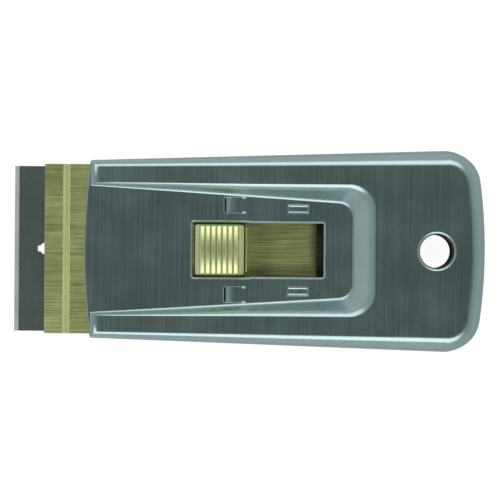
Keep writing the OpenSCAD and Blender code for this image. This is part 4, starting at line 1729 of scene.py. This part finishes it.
def rib_tree() -> bpy.types.NodeTree:
    """Makes the tree that presses round-topped ribs across a block's top.

    Returns:
        The tree, with inputs for the ribs' place, pitch, count, depth and squareness and for the plain edges.
    """
    names = ("Front", "Pitch", "Count", "Depth", "Squareness", "Half Width", "Plain Edge", "Foot")
    sketch, given, finished = geometry_tree("thumb_ribs", dict.fromkeys(names, "NodeSocketFloat"))
    x, y, z = sketch.axes(sketch.add("GeometryNodeInputPosition").outputs[0])
    turn = sketch.math("DIVIDE", sketch.math("SUBTRACT", x, given["Front"]), given["Pitch"])
    side = sketch.math("ABSOLUTE", sketch.math("MULTIPLY_ADD", sketch.math("FRACT", turn), 2.0, -1.0))
    groove = sketch.math("POWER", side, given["Squareness"])
    started = sketch.math("GREATER_THAN", turn, 0.0)
    inside = sketch.math("MULTIPLY", started, sketch.math("LESS_THAN", turn, given["Count"]))
    room = sketch.math("SUBTRACT", given["Half Width"], sketch.math("ABSOLUTE", y))
    edge = sketch.math("MAXIMUM", sketch.math("DIVIDE", room, given["Plain Edge"]), 0.0)
    edge = sketch.math("MINIMUM", edge, 1.0)
    above = sketch.math("GREATER_THAN", z, given["Foot"])
    mask = sketch.math("MULTIPLY", sketch.math("MULTIPLY", inside, edge), above)
    depth = sketch.math("MULTIPLY", groove, given["Depth"])
    offset = sketch.add("ShaderNodeCombineXYZ")
    sketch.feed(offset.inputs["Z"], sketch.math("MULTIPLY", depth, sketch.math("MULTIPLY", mask, -1.0)))
    move = sketch.add("GeometryNodeSetPosition")
    sketch.fill(move, {"Geometry": given["Geometry"], "Offset": offset.outputs[0]})
    sketch.feed(finished, move.outputs[0])
    return sketch.tree


def row_tree() -> bpy.types.NodeTree:
    """Makes, once, the tree that repeats one solid in a row across Y, centred on it.

    Returns:
        The tree, with inputs for the count and the pitch.
    """
    found = bpy.data.node_groups.get("solid_row")
    if found:
        return found
    sizes = {"Count": "NodeSocketInt", "Pitch": "NodeSocketFloat"}
    sketch, given, finished = geometry_tree("solid_row", sizes)
    gaps = sketch.math("SUBTRACT", given["Count"], 1.0)
    start = sketch.add("ShaderNodeCombineXYZ")
    half_pitch = sketch.math("MULTIPLY", given["Pitch"], -0.5)
    sketch.feed(start.inputs["Y"], sketch.math("MULTIPLY", gaps, half_pitch))
    step = sketch.add("ShaderNodeCombineXYZ")
    sketch.feed(step.inputs["Y"], given["Pitch"])
    line = sketch.add("GeometryNodeMeshLine")
    spots = {"Count": given["Count"], "Start Location": start.outputs[0], "Offset": step.outputs[0]}
    row = sketch.add("GeometryNodeInstanceOnPoints")
    points = sketch.fill(line, spots).outputs[0]
    sketch.feed(finished, sketch.fill(row, {"Points": points, "Instance": given["Geometry"]}).outputs[0])
    return sketch.tree


@dataclass
class RivetRow:
    """Row of equal rivets with a domed head below and a flush flared end above."""

    name: str
    node: str
    x: float
    seat_z: float
    count: int
    pitch: float
    top_z: float = 4.2
    shank_r: float = 0.9
    head_r: float = 1.7
    head_h: float = 0.45
    head_arc: tuple[int, int, int] = (8, 91, 14)
    head_power: float = 0.7
    flare_r: float = 1.35
    steps: int = 40

    def spots(self) -> Outline:
        """X and Y of each rivet."""
        return [(self.x, (i - (self.count - 1) / 2) * self.pitch) for i in range(self.count)]

    def build(self) -> None:
        """Builds the row's mesh and has it dressed."""
        profile = []
        for a in np.radians(np.arange(*self.head_arc)):
            profile.append((self.head_r * math.sin(a), -self.head_h * math.cos(a) ** self.head_power))
        length = self.top_z - self.seat_z
        neck = length - (self.flare_r - self.shank_r)
        profile += [(self.head_r, 0.0), (self.shank_r, 0.0), (self.shank_r, neck), (self.flare_r, length)]
        rivets = lathe(self.name, profile, self.steps)
        sizes = {"Count": self.count, "Pitch": self.pitch, "Finish": BRASS_RIVET.material()}
        run_tree(rivets, row_tree(), sizes)
        self.dress(place(rivets, self.x, 0.0, self.seat_z))

    def dress(self, rivets: bpy.types.Object) -> None:
        """Smooths the rivets, whose tree has set their finish, and hands them over."""
        shade(rivets)
        hand_over(rivets, self.name, "carriage", BRASS_RIVET, self.node)


def bent_path(points: Outline, radius: float, steps: int = 6) -> Outline:
    """Rounds the inner corners of a path.

    Args:
        points: Corners of the path.
        radius: Length by which each corner is cut back along both its sides.
        steps: Steps in each rounding.

    Returns:
        The rounded path.
    """
    path = [points[0]]
    for before, corner, after in zip(points, points[1:], points[2:]):
        middle = Vector(corner)
        start = middle + (Vector(before) - middle).normalized() * radius
        end = middle + (Vector(after) - middle).normalized() * radius
        for t in np.linspace(0, 1, steps + 1):
            spot = start * (1 - t) ** 2 + middle * (2 * t * (1 - t)) + end * t**2
            path.append((spot.x, spot.y))
    return path + [points[-1]]


def bent_strip(name: str, points: Outline, thick: float, width: float, radius: float) -> bpy.types.Object:
    """Strip of sheet bent along a path in X and Z.

    Args:
        name: Name of the strip.
        points: Corners of its upper face, from front to back.
        thick: Thickness, measured downwards.
        width: Width across Y.
        radius: Rounding of its bends.

    Returns:
        The strip.
    """
    upper = bent_path(points, radius)
    lower = [(x, z - thick) for x, z in upper]
    return across(name, lower + upper[::-1], width)


@dataclass
class LowerJaw:
    """Sheet under the blade, joggled up to the carrier plate behind it."""

    front_x: float = -46.6
    rear_x: float = -24.05
    joggle: tuple[float, float] = (-35.1, -33.55)
    low_z: float = 2.05
    high_z: float = 3.6
    thick: float = 0.5
    width: float = 38.2
    bend: float = 0.55
    edge_round: float = 0.06

    def build(self) -> None:
        """Builds the lower jaw's mesh and has it dressed."""
        path = [(self.front_x, self.low_z), (self.joggle[0], self.low_z)]
        path += [(self.joggle[1], self.high_z), (self.rear_x, self.high_z)]
        jaw = bent_strip("lower_jaw_form", path, self.thick, self.width, self.bend)
        soften(jaw, self.edge_round)
        self.dress(jaw)

    def dress(self, jaw: bpy.types.Object) -> None:
        """Smooths the jaw and hands it over in brass."""
        shade(jaw)
        hand_over(jaw, "brass_lower_jaw", "carriage", BRASS_SHEET, "lower_jaw")


@dataclass
class LeafSpring:
    """Leaf spring under the button, from its foot on the carrier to its tip under the button."""

    front_x: float = -21.55
    foot_rear_x: float = -17.55
    dip: tuple[float, float] = (-14.1, -12.9)
    touch_x: float = -4.76
    tip_x: float = -1.4
    foot_z: float = 3.6
    dip_z: float = 2.2
    touch_z: float = 2.85
    tip_drop: float = 0.09
    thick: float = 0.3
    width: float = 8.0
    bend: float = 0.4
    edge_round: float = 0.04

    def build(self) -> None:
        """Builds the spring's mesh and has it dressed."""
        path = [(self.front_x, self.foot_z), (self.foot_rear_x, self.foot_z), (self.dip[0], self.dip_z)]
        path += [(self.dip[1], self.dip_z), (self.touch_x, self.touch_z)]
        path.append((self.tip_x, self.touch_z - self.tip_drop))
        spring = bent_strip("spring_form", path, self.thick, self.width, self.bend)
        soften(spring, self.edge_round)
        self.dress(spring)

    def dress(self, spring: bpy.types.Object) -> None:
        """Gives the spring its finish and bakes its place into its mesh, tied to no body.

        Args:
            spring: The spring's mesh object.
        """
        shade(spring)
        to_metres(spring, "blued_leaf_spring", SPRING_STEEL)
        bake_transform(spring)
        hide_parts("button_spring")
        LOG.info("%s: %d faces between carriage and button", spring.name, len(spring.data.polygons))


@dataclass
class RazorBlade:
    """Single-edge blade with a ground edge, a hole with a nick and a folded spine."""

    edge_x: float = -54.45
    width: float = 19.05
    length: float = 38.1
    low_z: float = 2.535
    thick: float = 0.23
    bevel_w: float = 1.0
    edge_t: float = 0.02
    hole_from_edge: float = 7.15
    hole_r: float = 1.35
    nick_l: float = 0.42
    nick_w: float = 1.3
    smooth_angle: float = 4.0
    spine_w: float = 5.0
    spine_t: float = 1.0
    spine_gap: float = 0.1
    spine_round: float = 0.3
    spine_steps: int = 17
    slot_gap: float = 0.002

    def build(self) -> None:
        """Builds the meshes of the blade and its spine and has them dressed."""
        self.dress(self.blade(), self.spine())

    def blade(self) -> bpy.types.Object:
        """Ground blade with its hole and nick.

        Returns:
            The blade.
        """
        middle, top = self.low_z + self.thick / 2, self.low_z + self.thick
        back, face = self.edge_x + self.width, self.edge_x + self.bevel_w
        profile = [(self.edge_x, middle - self.edge_t / 2), (face, self.low_z), (back, self.low_z)]
        profile += [(back, top), (face, top), (self.edge_x, middle + self.edge_t / 2)]
        blade = across("blade_form", profile, self.length)
        low, high = self.low_z - OVERRUN, top + OVERRUN
        x = self.edge_x + self.hole_from_edge
        work(blade, drill(self.hole_r, (x, 0.0), low, high), Joinery.CUT)
        size = (2 * self.nick_l, self.nick_w, self.nick_l / 3)
        flat = np.array(rounded_rectangle(*size, SMALL_CORNER_STEPS)) + (x - self.hole_r, 0.0)
        work(blade, prism("nick", flat, low, high), Joinery.CUT)
        return blade

    def spine(self) -> bpy.types.Object:
        """Spine folded over the blade's back.

        Returns:
            The spine.
        """
        back = self.edge_x + self.width
        front, rear = back - self.spine_w, back + self.spine_gap
        middle = self.low_z + self.thick / 2
        half = self.spine_t / 2
        slot = self.thick / 2 + self.slot_gap
        profile = [(front, middle - half)]
        for a in np.linspace(-math.pi / 2, math.pi / 2, self.spine_steps):
            x = rear - self.spine_round + self.spine_round * math.cos(a)
            profile.append((x, middle + half * math.sin(a)))
        profile += [(front, middle + half), (front, middle + slot)]
        profile += [(back, middle + slot), (back, middle - slot), (front, middle - slot)]
        return across("spine_form", profile, self.length)

    def dress(self, blade: bpy.types.Object, spine: bpy.types.Object) -> None:
        """Gives the blade's face and bevel and the spine their finishes.

        Args:
            blade: The blade's mesh object.
            spine: The spine's mesh object.
        """
        number = add_finishes(blade, BLADE_FACE, BLADE_BEVEL)
        bevel_end = self.edge_x + self.bevel_w - self.bevel_w / 4
        for face in blade.data.polygons:
            face.material_index = number[BLADE_BEVEL if face.center.x < bevel_end else BLADE_FACE]
        shade(blade, self.smooth_angle)
        hand_over(blade, "ground_blade", "blade", BLADE_FACE, "blade")
        shade(spine)
        hand_over(spine, "folded_spine", "blade", SPINE_STEEL, "blade_spine")


@dataclass
class BaseSheet:
    """Flat lower sheet of the handle: satin below, with painted shade on its face inside the handle."""

    edge_round: float = 0.1
    upward_cosine: float = 0.9

    def build(self) -> None:
        """Builds the base plate's mesh from its node and has it dressed."""
        plate = node_copy("base_plate")
        soften(plate, self.edge_round)
        self.dress(plate)

    def dress(self, plate: bpy.types.Object) -> None:
        """Gives the plate's underside its finish and paints shade on its upper side.

        Args:
            plate: The base plate's mesh object.
        """
        number = add_finishes(plate, BASE_STEEL, PAINTED_SHADE_STEEL)
        for face in plate.data.polygons:
            # The upper side, inside the handle, takes painted shade
            face.material_index = number[PAINTED_SHADE_STEEL if face.normal.z > self.upward_cosine else BASE_STEEL]
        shade(plate)
        hand_over(plate, "satin_base_plate", "handle", BASE_STEEL, "base_plate")


@dataclass
class StudioFloor:
    """Plain pale floor, soft lights, world and camera, in metres."""

    floor_half: float = 1.6
    floor_drop: float = 0.0001
    floor_grey: float = 0.14
    floor_seen: float = 0.95
    floor_mirrored: float = 0.35
    light_size: tuple[float, float] = (0.66, 0.46)
    light_place: tuple[float, float] = (0.42, 0.47)
    light_radiance: tuple[float, float] = (1.45, 1.08)
    sky_low: tuple[tuple[float, float], ...] = ((0.0, 0.62), (0.15, 0.56), (0.3, 0.4), (0.75, 0.34))
    sky_high: tuple[tuple[float, float], ...] = ((0.93, 0.22), (0.966, 0.15), (0.985, 0.095))
    sky_overhead: tuple[tuple[float, float], ...] = ((0.997, 0.064), (1.0, 0.061))
    far_side_gain: float = 0.45
    near_side_gain: float = 0.08
    side_rise: float = 1.6
    side_most: float = 0.075
    camera_height: float = 0.433
    camera_view: float = 0.1156
    camera_view_z: float = 0.003
    camera_roll: float = 0.43

    def build(self) -> None:
        """Sets the stage."""
        self.floor()
        self.world()
        for side in (-1, 1):
            self.soft_light(side)
        self.camera()

    def floor(self) -> None:
        """White floor that shows as white, takes the object's shadow and is clear from below."""
        signs = ((-1, -1), (1, -1), (1, 1), (-1, 1))
        corners = [(sx * self.floor_half, sy * self.floor_half, -self.floor_drop) for sx, sy in signs]
        plane = solid("floor", corners, [(0, 1, 2, 3)])
        made = bpy.data.materials.new("floor_white")
        sketch = blank_sketch(made)
        matt = sketch.add("ShaderNodeBsdfDiffuse")
        matt.inputs["Color"].default_value = (self.floor_grey, self.floor_grey, self.floor_grey, 1.0)
        glow = sketch.add("ShaderNodeEmission")
        path = sketch.add("ShaderNodeLightPath").outputs
        seen = sketch.math("MAXIMUM", path["Is Camera Ray"], path["Is Transmission Ray"])
        mirrored = sketch.math("MULTIPLY", path["Is Glossy Ray"], self.floor_mirrored)
        shine = sketch.math("MAXIMUM", sketch.math("MULTIPLY", seen, self.floor_seen), mirrored)
        sketch.feed(glow.inputs["Strength"], shine)
        both = sketch.add("ShaderNodeAddShader")
        sketch.feed(both.inputs[0], matt.outputs[0])
        sketch.feed(both.inputs[1], glow.outputs[0])
        shown = sketch.add("ShaderNodeMixShader")
        sketch.feed(shown.inputs["Fac"], sketch.add("ShaderNodeNewGeometry").outputs["Backfacing"])
        sketch.feed(shown.inputs[1], both.outputs[0])
        sketch.feed(shown.inputs[2], sketch.add("ShaderNodeBsdfTransparent").outputs[0])
        sketch.feed(sketch.add("ShaderNodeOutputMaterial").inputs["Surface"], shown.outputs[0])
        plane.data.materials.append(made)

    def world(self) -> None:
        """Studio surroundings: white to the camera, dim overhead and pale towards the horizon."""
        world = bpy.data.worlds.new("studio")
        bpy.context.scene.world = world
        sketch = blank_sketch(world)
        _, y, z = sketch.axes(sketch.add("ShaderNodeTexCoord").outputs["Generated"])
        ramp = sketch.add("ShaderNodeValToRGB")
        sketch.feed(ramp.inputs["Fac"], z)
        stops = self.sky_low + self.sky_high + self.sky_overhead
        while len(ramp.color_ramp.elements) < len(stops):
            ramp.color_ramp.elements.new(0.5)
        for element, (position, level) in zip(ramp.color_ramp.elements, stops):
            element.position = position
            element.color = (level, level, level, 1.0)
        aside = sketch.math("MULTIPLY", sketch.math("ABSOLUTE", y), self.side_rise)
        level = sketch.math("ADD", ramp.outputs["Color"], sketch.math("MINIMUM", aside, self.side_most))
        tilt = sketch.math("MULTIPLY_ADD", z, self.far_side_gain, -self.near_side_gain)
        lit = sketch.math("MULTIPLY", level, sketch.math("MULTIPLY_ADD", y, tilt, 1.0))
        seen = sketch.add("ShaderNodeLightPath").outputs["Is Camera Ray"]
        background = sketch.add("ShaderNodeBackground")
        sketch.feed(background.inputs["Color"], sketch.math("MAXIMUM", lit, seen))
        sketch.feed(sketch.add("ShaderNodeOutputWorld").inputs["Surface"], background.outputs[0])

    def soft_light(self, side: int) -> None:
        """Long soft light beside the handle.

        Args:
            side: -1 or 1, the side of the handle.
        """
        lamp = bpy.data.lights.new(f"soft_light_{side}", "AREA")
        lamp.shape = "ELLIPSE"
        lamp.size, lamp.size_y = self.light_size
        radiance = self.light_radiance[side > 0]
        lamp.energy = radiance * math.pi * math.pi / 4 * self.light_size[0] * self.light_size[1]
        made = bpy.data.objects.new(lamp.name, lamp)
        bpy.context.scene.collection.objects.link(made)
        away, height = self.light_place
        made.location = (0.0, side * away, height)
        made.rotation_euler = (side * -math.atan2(away, height), 0.0, 0.0)

    def camera(self) -> None:
        """Camera straight above the object, which takes in its view at a height inside the object."""
        lens = bpy.data.cameras.new("camera")
        lens.angle = 2 * math.atan(self.camera_view / 2 / (self.camera_height - self.camera_view_z))
        made = bpy.data.objects.new("camera", lens)
        bpy.context.scene.collection.objects.link(made)
        made.location = (0.0, 0.0, self.camera_height)
        made.rotation_euler = (0.0, 0.0, math.radians(self.camera_roll))
        bpy.context.scene.camera = made


def main() -> None:
    """Loads the frame, builds every piece and sets the stage."""
    logging.basicConfig(level=logging.INFO, format="%(name)s %(message)s")
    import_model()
    bpy.context.scene.view_settings.view_transform = "Standard"
    brushed_lines_group()
    plating_mottle_group()
    slot_painted_shade_group()
    HandleShell().build()
    BaseSheet().build()
    jaw_rivets = RivetRow("jaw_rivet_row", "jaw_rivets", x=-28.4, seat_z=3.1, count=4, pitch=9.4)
    spring_rivets = RivetRow("spring_rivet_pair", "spring_rivets", x=-19.55, seat_z=3.3, count=2, pitch=4.2)
    low, high = (np.array(corner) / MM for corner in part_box("carrier_plate"))
    Carrier(low[0], high[0], high[1] - low[1], jaw_rivets.spots() + spring_rivets.spots()).build()
    LowerJaw().build()
    jaw_rivets.build()
    spring_rivets.build()
    ThumbButton().build()
    LeafSpring().build()
    RazorBlade().build()
    StudioFloor().build()


if __name__ == "__main__":
    main()
